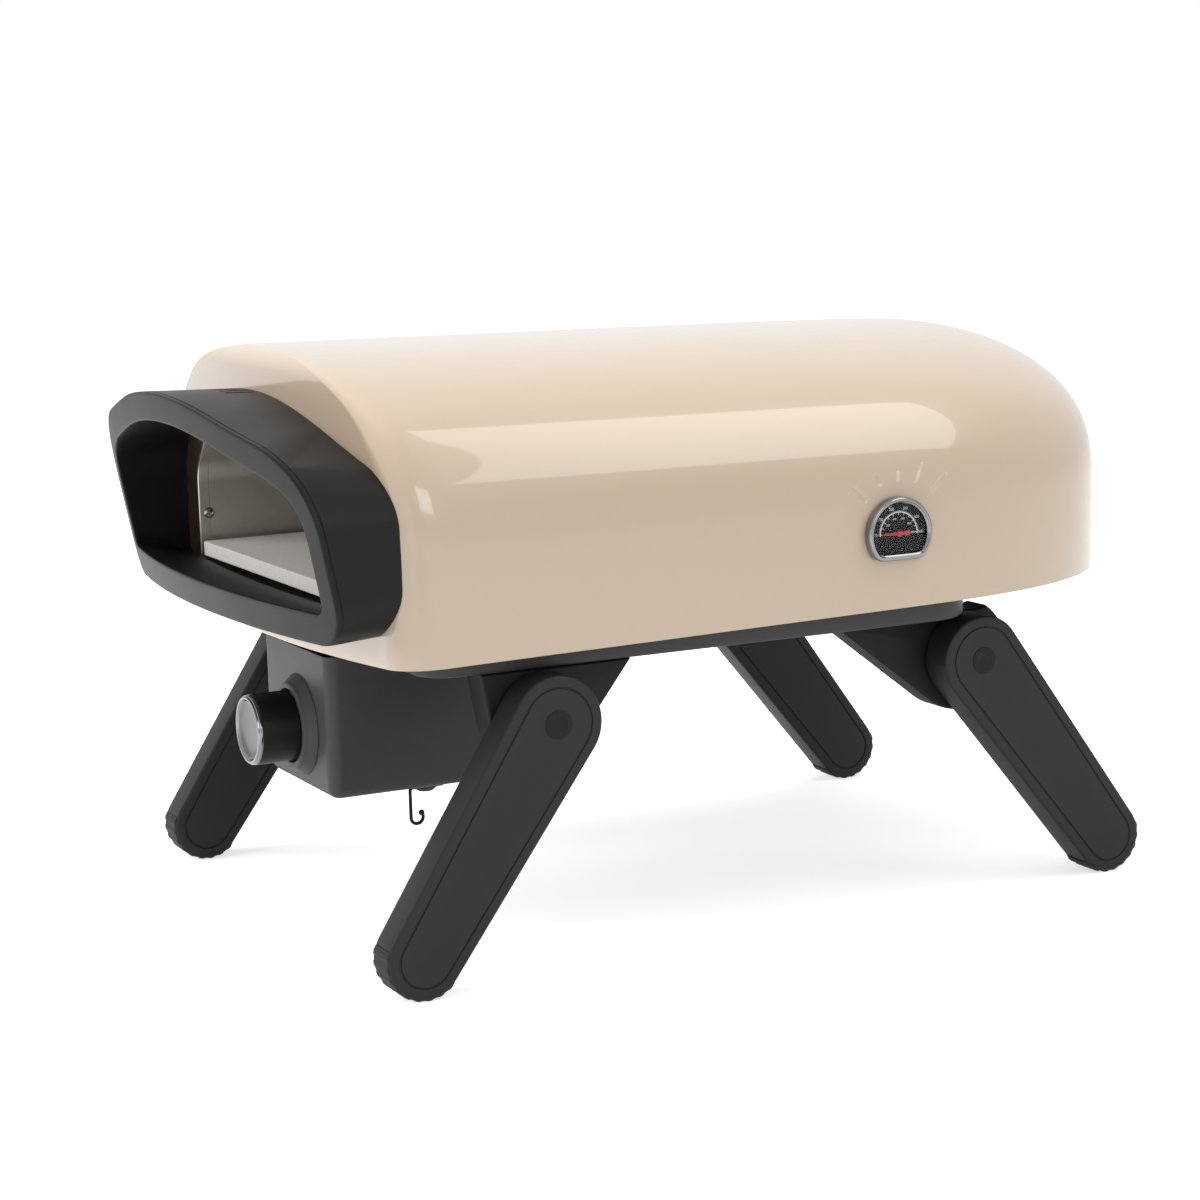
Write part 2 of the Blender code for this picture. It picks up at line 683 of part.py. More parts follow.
def plan_ring(half, front_y, bow, corner, rear_y, rear_run, power):
    """Outline seen from above: bowed front, round corners, straight sides, full rear."""
    ring = []
    flat = half - corner
    for k in range(FRONT_POINTS):
        x = -flat + 2 * flat * k / FRONT_POINTS
        ring.append((x, front_y - bow_depth(x, bow)))
    start = front_y - bow_depth(flat, bow) + corner
    end = rear_y - rear_run
    ring += arc_points((flat, start), corner, -90, 0, FRONT_CORNER_POINTS)[:-1]
    for k in range(SIDE_POINTS):
        ring.append((half, start + (end - start) * k / SIDE_POINTS))
    rear = []
    for k in range(REAR_POINTS + 1):
        angle = math.radians(90 * k / REAR_POINTS)
        rear.append((half * abs(math.cos(angle)) ** (2 / power),
                     end + rear_run * math.sin(angle) ** (2 / power)))
    ring += rear[:-1] + [(0, rear_y)] + [(-x, y) for x, y in reversed(rear[1:-1])]
    for k in range(SIDE_POINTS):
        ring.append((-half, end + (start - end) * k / SIDE_POINTS))
    return ring + arc_points((-flat, start), corner, 180, 270, FRONT_CORNER_POINTS)[:-1]


def dipped(ring):
    """Let the hood's lower edge hang a little lower along its front."""
    low = []
    for x, y, z in ring:
        ahead = y < HOOD_FRONT_Y + HOOD_FRONT_CORNER
        drop = HOOD_FRONT_DIP * max(0, 1 - (x / HOOD_HALF_WIDTH) ** 2) if ahead else 0
        low.append((x, y, z - drop))
    return low


def hood_levels():
    """Heights of the rings: the straight wall, then even steps round the shoulder."""
    rise = HOOD_TOP_Z - SHOULDER_START_Z
    levels = [HOOD_BOTTOM_Z, (HOOD_BOTTOM_Z + SHOULDER_START_Z) / 2, SHOULDER_START_Z]
    for k in range(1, HOOD_RING_COUNT + 1):
        angle = math.radians(LAST_RING_ANGLE * k / HOOD_RING_COUNT)
        levels.append(SHOULDER_START_Z + rise * math.sin(angle) ** (2 / SHOULDER_POWER))
    return levels


def make_hood():
    """Shell of two nested lofts, open below, with the mouth and the dial hole cut out."""
    levels = hood_levels()
    outer = [hood_ring(z) for z in levels]
    outer[0] = dipped(outer[0])
    inner = []
    for z in levels:
        ring = hood_ring(z, SHEET)
        lower = SHEET * max(0, (z - SHOULDER_START_Z) / (HOOD_TOP_Z - SHOULDER_START_Z))
        inner.append([(x, y, h - lower) for x, y, h in ring])
    inner[0] = dipped(inner[0])
    sections = list(reversed(inner)) + outer
    hood = flip_if_inside_out(loft("hood", sections, ENAMEL, False, True))
    opening = [frame_opening_point(x, z, -SHEET) for x, z in frame_contour("throat")]
    mouth = prism("cut_hood_mouth", "Y", [(z, x) for x, z in opening],
                  HOOD_FRONT_Y - HOOD_FRONT_BOW * 2, HOOD_FRONT_Y + HOOD_FRONT_CORNER,
                  None, CUTTERS)
    boolean(hood, mouth)
    neck = rod("cut_hood_dial", "X", (HOOD_HALF_WIDTH, DIAL_Y, DIAL_Z),
               -CUT_MARGIN * 2, CUT_MARGIN * 2, NECK_RADIUS + GAP, None, SMALL_STEPS, CUTTERS)
    boolean(hood, neck)
    return hood


# Mouth frame
def rounded_outline(corners, steps, straight_steps):
    """Round each corner (x, z, radius) with an arc and divide the straights between."""
    arcs = []
    count = len(corners)
    for k in range(count):
        x, z, radius = corners[k]
        here = Vector((x, z))
        before = (Vector(corners[k - 1][:2]) - here).normalized()
        after = (Vector(corners[(k + 1) % count][:2]) - here).normalized()
        angle = before.angle(after)
        reach = radius / math.tan(angle / 2)
        middle = (before + after).normalized()
        centre = here + middle * (radius / math.sin(angle / 2))
        first = here + before * reach - centre
        last = here + after * reach - centre
        sweep = first.angle_signed(last)
        arc = []
        for i in range(steps + 1):
            turned = first.copy()
            turned.rotate(Matrix.Rotation(-sweep * i / steps, 2))
            arc.append(centre + turned)
        arcs.append(arc)
    outline = []
    for k in range(count):
        start, end = arcs[k][-1], arcs[(k + 1) % count][0]
        pieces = straight_steps[k]
        outline += arcs[k] + [start.lerp(end, i / pieces) for i in range(1, pieces)]
    return [tuple(point) for point in outline]


def frame_contour(kind):
    """Outline of the frame's front, rear, opening or throat as (x, z) pairs."""
    half, bottom, top = FRAME_OUTER_HALF_WIDTH, FRAME_OUTER_BOTTOM_Z, FRAME_OUTER_TOP_Z
    side_drop = FRAME_SIDE_TOP_DROP
    shoulder_drop = FRAME_SHOULDER_DROP
    shoulder = FRAME_SHOULDER_X
    low_radius = FRAME_BOTTOM_RADIUS
    side_radius = FRAME_SIDE_RADIUS
    shoulder_radius = FRAME_SHOULDER_RADIUS
    crown_radius = FRAME_CROWN_RADIUS
    if kind == "rear":
        half, bottom, top = FRAME_REAR_HALF_WIDTH, FRAME_REAR_BOTTOM_Z, FRAME_REAR_TOP_Z
        side_drop = FRAME_REAR_SIDE_DROP
        shoulder_drop = FRAME_REAR_SHOULDER_DROP
        shoulder = half * FRAME_REAR_SHOULDER_SHARE
        low_radius = FRAME_REAR_BOTTOM_RADIUS
        side_radius = FRAME_REAR_SIDE_RADIUS
        shoulder_radius = FRAME_REAR_SHOULDER_RADIUS
        crown_radius = FRAME_REAR_CROWN_RADIUS
    side_top = top - side_drop
    shoulder_top = top - shoulder_drop
    if kind in ("opening", "throat"):
        flare = FRAME_TUNNEL_FLARE if kind == "throat" else 0
        fall = FRAME_THROAT_FALL if kind == "throat" else 0
        half -= FRAME_BAND - flare
        bottom += FRAME_BOTTOM_BAND - fall
        top -= FRAME_TOP_BAND - flare
        side_top -= (FRAME_TOP_BAND - flare) / 2
        shoulder_top -= FRAME_TOP_BAND - flare
        shoulder -= (FRAME_BAND - flare) / 2
        low_radius = FRAME_OPENING_BOTTOM_RADIUS
        side_radius = FRAME_OPENING_SIDE_RADIUS
        shoulder_radius = FRAME_OPENING_SHOULDER_RADIUS
    right = [(half, bottom, low_radius), (half, side_top, side_radius),
             (shoulder, shoulder_top, shoulder_radius)]
    left = [(-x, z, radius) for x, z, radius in reversed(right)]
    crown = [(0, top, crown_radius)]
    return rounded_outline(right + crown + left, FRAME_ARC_STEPS, FRAME_STRAIGHT_STEPS)


def frame_opening_point(x, z, inset):
    """Move an outline point towards the frame's middle by an inset."""
    middle = (FRAME_OUTER_TOP_Z + FRAME_OUTER_BOTTOM_Z) / 2
    reach = math.hypot(x, z - middle)
    share = 1 - inset / reach
    return (x * share, middle + (z - middle) * share)


def frame_front_wall(x, z):
    """The y of the frame's bowed, leaning front face."""
    rise = (z - FRAME_OUTER_BOTTOM_Z) / (FRAME_OUTER_TOP_Z - FRAME_OUTER_BOTTOM_Z)
    lean = (FRAME_TOP_FRONT_Y - FRAME_BOTTOM_FRONT_Y) * rise
    return FRAME_BOTTOM_FRONT_Y + lean - bow_depth(x, FRAME_BOW)


def make_mouth_frame():
    """Ring between the bowed front face and the hood wall, with slots cut in its top."""
    front = frame_contour("front")
    rear = frame_contour("rear")
    opening = frame_contour("opening")
    throat = frame_contour("throat")

    def on_front(outline, inset, back):
        ring = []
        for x, z in outline:
            x, z = frame_opening_point(x, z, inset)
            ring.append((x, frame_front_wall(x, z) + back, z))
        return ring

    def on_hood(outline):
        return [(x, hood_front_wall(x, z) - GAP, z) for x, z in outline]

    sections = [
        on_hood(rear),
        on_front(front, 0, FRAME_EDGE),
        on_front(front, FRAME_EDGE, 0),
        on_front(opening, -FRAME_EDGE, 0),
        on_front(opening, 0, FRAME_EDGE),
        on_hood(throat)]
    for k in range(1, FRAME_BACK_STEPS):
        share = k / FRAME_BACK_STEPS
        between = [(a[0] + (b[0] - a[0]) * share, a[1] + (b[1] - a[1]) * share)
                   for a, b in zip(throat, rear)]
        sections.append(on_hood(between))
    frame = flip_if_inside_out(loft("mouth_frame", sections, DARK_SATIN, True, False))
    for k in range(VENT_SLOT_COUNT):
        x = (k - (VENT_SLOT_COUNT - 1) / 2) * VENT_SLOT_PITCH
        y = HOOD_FRONT_Y - HOOD_FRONT_BOW - VENT_SLOT_DEPTH
        slot = box(f"cut_vent_{k + 1}",
                   (x - VENT_SLOT_WIDTH / 2, y - VENT_SLOT_LENGTH,
                    FRAME_CROWN_Z - VENT_SLOT_DEPTH - FRAME_EDGE),
                   (x + VENT_SLOT_WIDTH / 2, y, FRAME_CROWN_Z + CUT_MARGIN), None, CUTTERS)
        boolean(frame, slot)
    return frame


# Tray and chamber
def tray_ring(inset, z):
    """One level ring of the base tray."""
    ring = plan_ring(TRAY_HALF_WIDTH - inset, TRAY_FRONT_Y + inset, 0, TRAY_CORNER - inset,
                     TRAY_REAR_Y - inset, TRAY_REAR_RUN, HOOD_REAR_POWER)
    return [(x, y, z) for x, y in ring]


def make_base_tray():
    """Open tray with a flange out to the hood's wall and a passage for the gas pipe."""
    floor_in = TRAY_BOTTOM_Z + SHEET
    edge = [(x, y) for x, y, z in hood_ring(FLANGE_Z, SHEET + GAP)]
    sections = [
        tray_ring(0, TRAY_BOTTOM_Z),
        tray_ring(0, FLANGE_Z),
        [(x, y, FLANGE_Z) for x, y in edge],
        [(x, y, FLANGE_Z + SHEET) for x, y in edge],
        tray_ring(SHEET, FLANGE_Z + SHEET),
        tray_ring(SHEET, floor_in)]
    tray = flip_if_inside_out(loft("base_tray", sections, GREY_PAINT))
    passage = rod("cut_tray_pipe", "Z", (PIPE_X, RISER_Y, TRAY_BOTTOM_Z),
                  -CUT_MARGIN, SHEET + CUT_MARGIN, LEAD_OFFSET * 3 / 2, None, SMALL_STEPS, CUTTERS)
    boolean(tray, passage)
    return tray


def make_chamber_floor():
    """Plate under the liner, with holes for the mixing tube and the igniter lead."""
    reach = CHAMBER_HALF_WIDTH + SHEET + FLOOR_OVERHANG
    floor = box("chamber_floor", (-reach, CHAMBER_FRONT_Y, FLOOR_PLATE_Z),
                (reach, CHAMBER_REAR_Y + SHEET + FLOOR_OVERHANG, FLOOR_PLATE_TOP_Z), DARK_STEEL)
    hole = rod("cut_floor_mixer", "Z", (PIPE_X, BURNER_Y, FLOOR_PLATE_Z),
               -CUT_MARGIN, SHEET + CUT_MARGIN, MIXER_RADIUS + GAP, None, SMALL_STEPS, CUTTERS)
    boolean(floor, hole)
    hole = rod("cut_floor_electrode", "Z", (ELECTRODE_X, BURNER_Y, FLOOR_PLATE_Z),
               -CUT_MARGIN, SHEET + CUT_MARGIN, LEAD_RADIUS + GAP, None, SMALL_STEPS, CUTTERS)
    boolean(floor, hole)
    return floor


def arch_outline(outset):
    """Open arch of the liner, from the lower right round to the lower left."""
    slope = Vector((CHAMBER_CEILING_HALF_WIDTH - CHAMBER_HALF_WIDTH,
                    CHAMBER_CEILING_Z - CHAMBER_BEND_Z)).normalized()
    tilt = math.atan2(slope.y, -slope.x)
    wall = CHAMBER_HALF_WIDTH + outset
    bend = CHAMBER_BEND_Z + outset * math.tan((math.pi / 2 - tilt) / 2)
    ceiling_half = CHAMBER_CEILING_HALF_WIDTH + outset * math.tan(tilt / 2)
    ceiling = CHAMBER_CEILING_Z + outset
    right = [(wall, bend), (ceiling_half, ceiling)]
    return right, [(-x, z) for x, z in reversed(right)]


def arch(name, inner, outer, bottom_z, low_y, high_y, material):
    """A bent sheet or blanket between two outsets of the liner arch."""
    right_in, left_in = arch_outline(inner)
    right_out, left_out = arch_outline(outer)
    outline = [(right_out[0][0], bottom_z)] + right_out + left_out
    outline += [(left_out[-1][0], bottom_z), (left_in[-1][0], bottom_z)]
    outline += list(reversed(right_in + left_in)) + [(right_in[0][0], bottom_z)]
    return prism(name, "Y", [(z, x) for x, z in outline], low_y, high_y, material)


def make_liner():
    """Bent sheet over the stone, with holes for the stem and the two screws."""
    liner = arch("liner_arch", 0, SHEET, FLOOR_PLATE_TOP_Z + GAP,
                 CHAMBER_FRONT_Y, CHAMBER_REAR_Y, STEEL)
    stem = rod("cut_liner_stem", "X", (CHAMBER_HALF_WIDTH, DIAL_Y, DIAL_Z),
               -CUT_MARGIN, SHEET + CUT_MARGIN, STEM_RADIUS + GAP, None, SMALL_STEPS, CUTTERS)
    boolean(liner, stem)
    for side in (-1, 1):
        hole = rod(f"cut_liner_screw_{'left' if side < 0 else 'right'}", "X",
                   (side * CHAMBER_HALF_WIDTH, LINER_SCREW_Y, LINER_SCREW_Z),
                   -CUT_MARGIN, CUT_MARGIN, SCREW_SHANK_RADIUS + GAP, None, SMALL_STEPS, CUTTERS)
        boolean(liner, hole)
    return liner


def make_liner_back():
    """Flat sheet that closes the rear of the liner."""
    right, left = arch_outline(SHEET)
    bottom = FLOOR_PLATE_TOP_Z + GAP
    outline = [(right[0][0], bottom)] + right + left + [(left[-1][0], bottom)]
    start = CHAMBER_REAR_Y + GAP
    return prism("liner_back", "Y", [(z, x) for x, z in outline], start, start + SHEET, STEEL)


def make_insulation():
    """Blanket bent over the liner, held between it and the hood."""
    inner = SHEET + GAP
    blanket = arch("insulation", inner, inner + INSULATION, FLOOR_PLATE_TOP_Z + GAP,
                   INSULATION_FRONT_Y, CHAMBER_REAR_Y, WOOL)
    stem = rod("cut_wool_stem", "X", (CHAMBER_HALF_WIDTH, DIAL_Y, DIAL_Z),
               -CUT_MARGIN, INSULATION * 2, STEM_RADIUS + GAP, None, SMALL_STEPS, CUTTERS)
    return boolean(blanket, stem)


def make_baffle():
    """Notched strip that hangs from the ceiling just behind the mouth."""
    half = CHAMBER_CEILING_HALF_WIDTH - GAP
    top = CHAMBER_CEILING_Z - GAP
    outline = [(top, BAFFLE_FRONT_Y), (top, BAFFLE_FRONT_Y + BAFFLE_DEPTH),
               (top - SHEET, BAFFLE_FRONT_Y + BAFFLE_DEPTH),
               (top - SHEET, BAFFLE_FRONT_Y + SHEET),
               (top - BAFFLE_DROP, BAFFLE_FRONT_Y + SHEET), (top - BAFFLE_DROP, BAFFLE_FRONT_Y)]
    baffle = prism("mouth_baffle", "X", [(y, z) for z, y in outline], -half, half, DARK_STEEL)
    for k in range(BAFFLE_NOTCH_COUNT):
        x = half * 2 * ((k + 1 / 2) / BAFFLE_NOTCH_COUNT - 1 / 2)
        notch = box(f"cut_notch_{k + 1}",
                    (x - BAFFLE_NOTCH / 2, BAFFLE_FRONT_Y - CUT_MARGIN, top - BAFFLE_DROP - CUT_MARGIN),
                    (x + BAFFLE_NOTCH / 2, BAFFLE_FRONT_Y + SHEET + CUT_MARGIN,
                     top - BAFFLE_DROP + BAFFLE_NOTCH / 2), None, CUTTERS)
        boolean(baffle, notch)
    return baffle


def make_liner_screw(side, word):
    """Round-headed screw through the liner wall, head inside the chamber."""
    face = CHAMBER_HALF_WIDTH - GAP
    profile = [(0, SCREW_HEAD_RADIUS), (-SCREW_HEAD_HEIGHT / 2, SCREW_HEAD_RADIUS),
               (-SCREW_HEAD_HEIGHT, SCREW_HEAD_RADIUS / 2)]
    profile = [(SHEET * 4, SCREW_SHANK_RADIUS), (0, SCREW_SHANK_RADIUS)] + profile
    turned = [(side * height, radius) for height, radius in profile]
    return lathe(f"liner_screw_{word}", "X", (side * face, LINER_SCREW_Y, LINER_SCREW_Z),
                 turned, SATIN_METAL, SMALL_STEPS)


# Stone and its rests
def make_stone():
    """Square slab with softened edges, loose on its rests."""
    half = STONE_HALF_WIDTH
    stone = box("pizza_stone", (-half, STONE_FRONT_Y, STONE_BOTTOM_Z),
                (half, STONE_REAR_Y, STONE_BOTTOM_Z + STONE_THICK), STONE)
    set_origin(stone, (0, (STONE_FRONT_Y + STONE_REAR_Y) / 2, STONE_BOTTOM_Z))
    return bevelled(stone, STONE_EDGE)


def make_stone_rest(side, word):
    """Flat bar on the floor plate that carries one side of the stone."""
    outer = STONE_HALF_WIDTH - REST_INSET
    low_x, high_x = sorted((side * outer, side * (outer - REST_WIDTH)))
    return box(f"stone_rest_{word}",
               (low_x, STONE_FRONT_Y + REST_SHORTER, REST_Z),
               (high_x, STONE_REAR_Y - REST_SHORTER, REST_Z + REST_HEIGHT), STEEL)


# Burner, gas line and igniter
def make_burner():
    """Round tube across the rear with a row of flame ports that face the mouth."""
    centre = (0, BURNER_Y, BURNER_Z)
    cap = BURNER_RADIUS / 4
    profile = [(-BURNER_HALF_LENGTH, BURNER_RADIUS - cap),
               (-BURNER_HALF_LENGTH + cap, BURNER_RADIUS),
               (BURNER_HALF_LENGTH - cap, BURNER_RADIUS),
               (BURNER_HALF_LENGTH, BURNER_RADIUS - cap)]
    burner = lathe("burner_tube", "X", centre, profile, STEEL, SMALL_STEPS)
    for k in range(BURNER_PORT_COUNT):
        x = BURNER_HALF_LENGTH * 2 * ((k + 1 / 2) / BURNER_PORT_COUNT - 1 / 2)
        port = rod(f"cut_port_{k + 1}", "Y", (x, BURNER_Y, BURNER_Z),
                   -BURNER_RADIUS * 2, -BURNER_RADIUS / 2, BURNER_PORT_RADIUS, None,
                   BURNER_PORT_STEPS, CUTTERS)
        boolean(burner, port)
    return burner


def make_burner_bracket(side, word):
    """Cradle that stands on the chamber floor and holds the burner from below."""
    x = side * BURNER_BRACKET_X
    half = BURNER_BRACKET_WIDTH / 2
    foot = FLOOR_PLATE_TOP_Z + GAP
    top = BURNER_Z
    reach = BURNER_RADIUS + BRACKET_PLATE + GAP
    cradle = box(f"burner_bracket_{word}", (x - half, BURNER_Y - reach, foot),
                 (x + half, BURNER_Y + reach, top), STEEL)
    seat = rod(f"cut_cradle_{word}", "X", (x, BURNER_Y, BURNER_Z), -half * 2, half * 2,
               BURNER_RADIUS + GAP, None, SMALL_STEPS, CUTTERS)
    return boolean(cradle, seat)


def make_burner_guard():
    """Slotted plate between the stone and the flame."""
    half = BURNER_HALF_LENGTH + GUARD_FOOT
    foot_z = FLOOR_PLATE_TOP_Z + GAP
    outline = [(GUARD_Y, foot_z), (GUARD_Y + GUARD_FOOT, foot_z),
               (GUARD_Y + GUARD_FOOT, foot_z + SHEET), (GUARD_Y + SHEET, foot_z + SHEET),
               (GUARD_Y + SHEET, foot_z + GUARD_HEIGHT), (GUARD_Y, foot_z + GUARD_HEIGHT)]
    guard = prism("burner_guard", "X", outline, -half, half, STEEL)
    for k in range(GUARD_SLOT_COUNT):
        x = half * 2 * ((k + 1 / 2) / GUARD_SLOT_COUNT - 1 / 2)
        middle = foot_z + GUARD_HEIGHT * 2 / 3
        slot = box(f"cut_guard_{k + 1}",
                   (x - GUARD_SLOT_WIDTH / 2, GUARD_Y - CUT_MARGIN, middle - GUARD_SLOT_HEIGHT / 2),
                   (x + GUARD_SLOT_WIDTH / 2, GUARD_Y + SHEET + CUT_MARGIN,
                    middle + GUARD_SLOT_HEIGHT / 2), None, CUTTERS)
        boolean(guard, slot)
    return guard


def make_mixer():
    """Mixing tube that stands in the floor plate and feeds the burner."""
    wall = SHEET
    centre = (PIPE_X, BURNER_Y, 0)
    profile = [(MIXER_BOTTOM_Z, MIXER_FLARE_RADIUS - wall), (MIXER_BOTTOM_Z, MIXER_FLARE_RADIUS),
               (MIXER_BOTTOM_Z + wall * 2, MIXER_RADIUS), (MIXER_TOP_Z, MIXER_RADIUS),
               (MIXER_TOP_Z, MIXER_RADIUS - wall), (MIXER_BOTTOM_Z + wall * 2, MIXER_RADIUS - wall)]
    return lathe("mixing_tube", "Z", centre, profile, STEEL, SMALL_STEPS, True)


def make_gas_line():
    """Rigid pipe from the valve's tail, up into the tray and back to the jet."""
    tail_y = VALVE_FRONT_Y + VALVE_LENGTH + GAP
    bend = PIPE_RADIUS * 3
    points = [(PIPE_X, tail_y, KNOB_Z)]
    for y, z in arc_points((RISER_Y - bend, KNOB_Z + bend), bend, -90, 0, PIPE_BEND_STEPS):
        points.append((PIPE_X, y, z))
    for y, z in arc_points((RISER_Y + bend, PIPE_RUN_Z - bend), bend, 180, 90, PIPE_BEND_STEPS):
        points.append((PIPE_X, y, z))
    end_y = BURNER_Y - JET_RADIUS - JET_BLOCK - GAP
    points.append((PIPE_X, end_y, PIPE_RUN_Z))
    return tube("gas_pipe", points, PIPE_RADIUS, SATIN_METAL)


def make_jet():
    """Brass jet block under the mixing tube."""
    half = JET_RADIUS + JET_BLOCK
    base = box("gas_jet", (PIPE_X - half, BURNER_Y - half, PIPE_RUN_Z - half / 2),
               (PIPE_X + half, BURNER_Y + half, PIPE_RUN_Z + half / 3), BRASS)
    hole = rod("cut_jet_hole", "Z", (PIPE_X, BURNER_Y, PIPE_RUN_Z), -half / 4, half,
               SHEET, None, SMALL_STEPS, CUTTERS)
    return boolean(base, hole)


def make_electrode():
    """White ceramic igniter with its tip beside the burner ports."""
    foot = FLOOR_PLATE_TOP_Z + GAP
    profile = [(foot, ELECTRODE_RADIUS), (foot + ELECTRODE_LENGTH * 3 / 4, ELECTRODE_RADIUS),
               (foot + ELECTRODE_LENGTH * 3 / 4, SHEET / 2), (foot + ELECTRODE_LENGTH, SHEET / 2)]
    return lathe("igniter_electrode", "Z", (ELECTRODE_X, ELECTRODE_Y, 0), profile, CERAMIC,
                 SMALL_STEPS)


def make_lead():
    """Insulated lead from the valve's switch to the igniter."""
    x = PIPE_X - LEAD_OFFSET
    start_y = VALVE_FRONT_Y + VALVE_LENGTH + GAP
    top_z = FLOOR_PLATE_Z - GAP - LEAD_RADIUS
    run_z = PIPE_RUN_Z
    points = [(x, start_y, KNOB_Z), (x, RISER_Y, KNOB_Z + LEAD_OFFSET),
              (x, RISER_Y, run_z - LEAD_OFFSET), (x, RISER_Y + LEAD_OFFSET, run_z),
              (x, ELECTRODE_Y - LEAD_OFFSET * 4, run_z),
              (ELECTRODE_X, ELECTRODE_Y - LEAD_OFFSET, run_z),
              (ELECTRODE_X, ELECTRODE_Y, run_z + LEAD_RADIUS * 2),
              (ELECTRODE_X, ELECTRODE_Y, top_z)]
    return tube("igniter_lead", points, LEAD_RADIUS, LEAD_RUBBER)


# Gas box, valve and knob
def gas_box_ring(inset, z):
    """One level ring of the gas box, a rectangle with round corners."""
    half = BOX_HALF_WIDTH - inset
    front = BOX_FRONT_Y + inset
    rear = BOX_REAR_Y - inset
    corner = max(BOX_CORNER - inset, BOX_CORNER / 4)
    steps = FRONT_CORNER_POINTS
    middle = BOX_MIDDLE_X
    ring = arc_points((middle + half - corner, front + corner), corner, -90, 0, steps)
    ring += arc_points((middle + half - corner, rear - corner), corner, 0, 90, steps)
    ring += arc_points((middle - half + corner, rear - corner), corner, 90, 180, steps)
    ring += arc_points((middle - half + corner, front + corner), corner, 180, 270, steps)
    return [(x, y, z) for x, y in ring]


def make_gas_box():
    """Open-topped box with a rounded lower edge, bolted under the tray."""
    rounding = []
    for k in range(BOX_ROUND_STEPS + 1):
        angle = math.radians(90 * k / BOX_ROUND_STEPS)
        rounding.append((BOX_BOTTOM_ROUND * (1 - math.sin(angle)),
                         BOX_BOTTOM_ROUND * (1 - math.cos(angle))))
    outer = [gas_box_ring(inset, BOX_BOTTOM_Z + rise) for inset, rise in rounding]
    outer.append(gas_box_ring(0, BOX_TOP_Z))
    inner = [gas_box_ring(SHEET, BOX_TOP_Z)]
    inner += [gas_box_ring(inset + SHEET, BOX_BOTTOM_Z + SHEET + rise)
              for inset, rise in reversed(rounding)]
    housing = flip_if_inside_out(loft("gas_box", outer + inner, GREY_PAINT, False, False))
    centre = (KNOB_X, BOX_FRONT_Y, KNOB_Z)
    boolean(housing, rod("cut_box_spindle", "Y", centre, -CUT_MARGIN, SHEET + CUT_MARGIN,
                         SPINDLE_HOLE_RADIUS, None, SMALL_STEPS, CUTTERS))
    inlet = (BOX_MIDDLE_X, BOX_REAR_Y, INLET_Z)
    boolean(housing, rod("cut_box_inlet", "Y", inlet, -SHEET - CUT_MARGIN, CUT_MARGIN,
                         INLET_THREAD_RADIUS + GAP, None, SMALL_STEPS, CUTTERS))
    for k in range(BOX_VENT_COUNT):
        x = BOX_MIDDLE_X + (k - (BOX_VENT_COUNT - 1) / 2) * BOX_VENT_PITCH
        y = (BOX_FRONT_Y + BOX_REAR_Y * 3) / 4
        boolean(housing, box(f"cut_box_vent_{k + 1}",
                             (x - BOX_VENT_WIDTH / 2, y - BOX_VENT_LENGTH / 2,
                              BOX_BOTTOM_Z - CUT_MARGIN),
                             (x + BOX_VENT_WIDTH / 2, y + BOX_VENT_LENGTH / 2,
                              BOX_BOTTOM_Z + SHEET + CUT_MARGIN), None, CUTTERS))
    return housing


def make_valve():
    """Brass valve body with a bore for the spindle and its return cap."""
    x = KNOB_X
    body = box("gas_valve", (x - VALVE_HALF, VALVE_FRONT_Y, KNOB_Z - VALVE_HALF),
               (x + VALVE_HALF, VALVE_FRONT_Y + VALVE_LENGTH, KNOB_Z + VALVE_HALF), BRASS)
    bore = lathe("cut_valve_bore", "Y", (x, VALVE_FRONT_Y, KNOB_Z),
                 [(-CUT_MARGIN, CAP_OUTER_RADIUS + GAP), (CAP_DEPTH, CAP_OUTER_RADIUS + GAP),
                  (CAP_DEPTH, SPINDLE_RADIUS + PIN_CLEARANCE),
                  (CAP_DEPTH * 3, SPINDLE_RADIUS + PIN_CLEARANCE)],
                 None, ROUND_STEPS, False, CUTTERS)
    return boolean(body, bore)


def make_return_cap():
    """Ring on the spindle that the return spring bears on; it slides with a push."""
    y = VALVE_FRONT_Y + GAP
    inner = SPINDLE_RADIUS + PIN_CLEARANCE
    profile = [(0, inner), (0, CAP_OUTER_RADIUS), (CAP_THICK, CAP_OUTER_RADIUS), (CAP_THICK, inner)]
    cap = lathe("spindle_cap", "Y", (KNOB_X, y, KNOB_Z), profile, SATIN_METAL,
                ROUND_STEPS, True)
    return set_origin(cap, (KNOB_X, y, KNOB_Z))


def make_spindle():
    """Round bar that the knob turns and pushes."""
    end = VALVE_FRONT_Y + CAP_DEPTH * 2
    spindle = rod("valve_spindle", "Y", (KNOB_X, 0, KNOB_Z), KNOB_BACK_Y + GAP, end,
                  SPINDLE_RADIUS, BRASS, ROUND_STEPS)
    return set_origin(spindle, (KNOB_X, KNOB_BACK_Y, KNOB_Z))


def make_knob_collar():
    """Wide low cone on the box face behind the knob."""
    profile = [(0, COLLAR_HOLE_RADIUS), (0, COLLAR_BASE_RADIUS),
               (-COLLAR_DEPTH * 2 / 3, COLLAR_FRONT_RADIUS + SHEET),
               (-COLLAR_DEPTH, COLLAR_FRONT_RADIUS), (-COLLAR_DEPTH, COLLAR_HOLE_RADIUS)]
    return lathe("knob_collar", "Y", (KNOB_X, COLLAR_BACK_Y, KNOB_Z), profile, GREY_PAINT,
                 ROUND_STEPS, True)


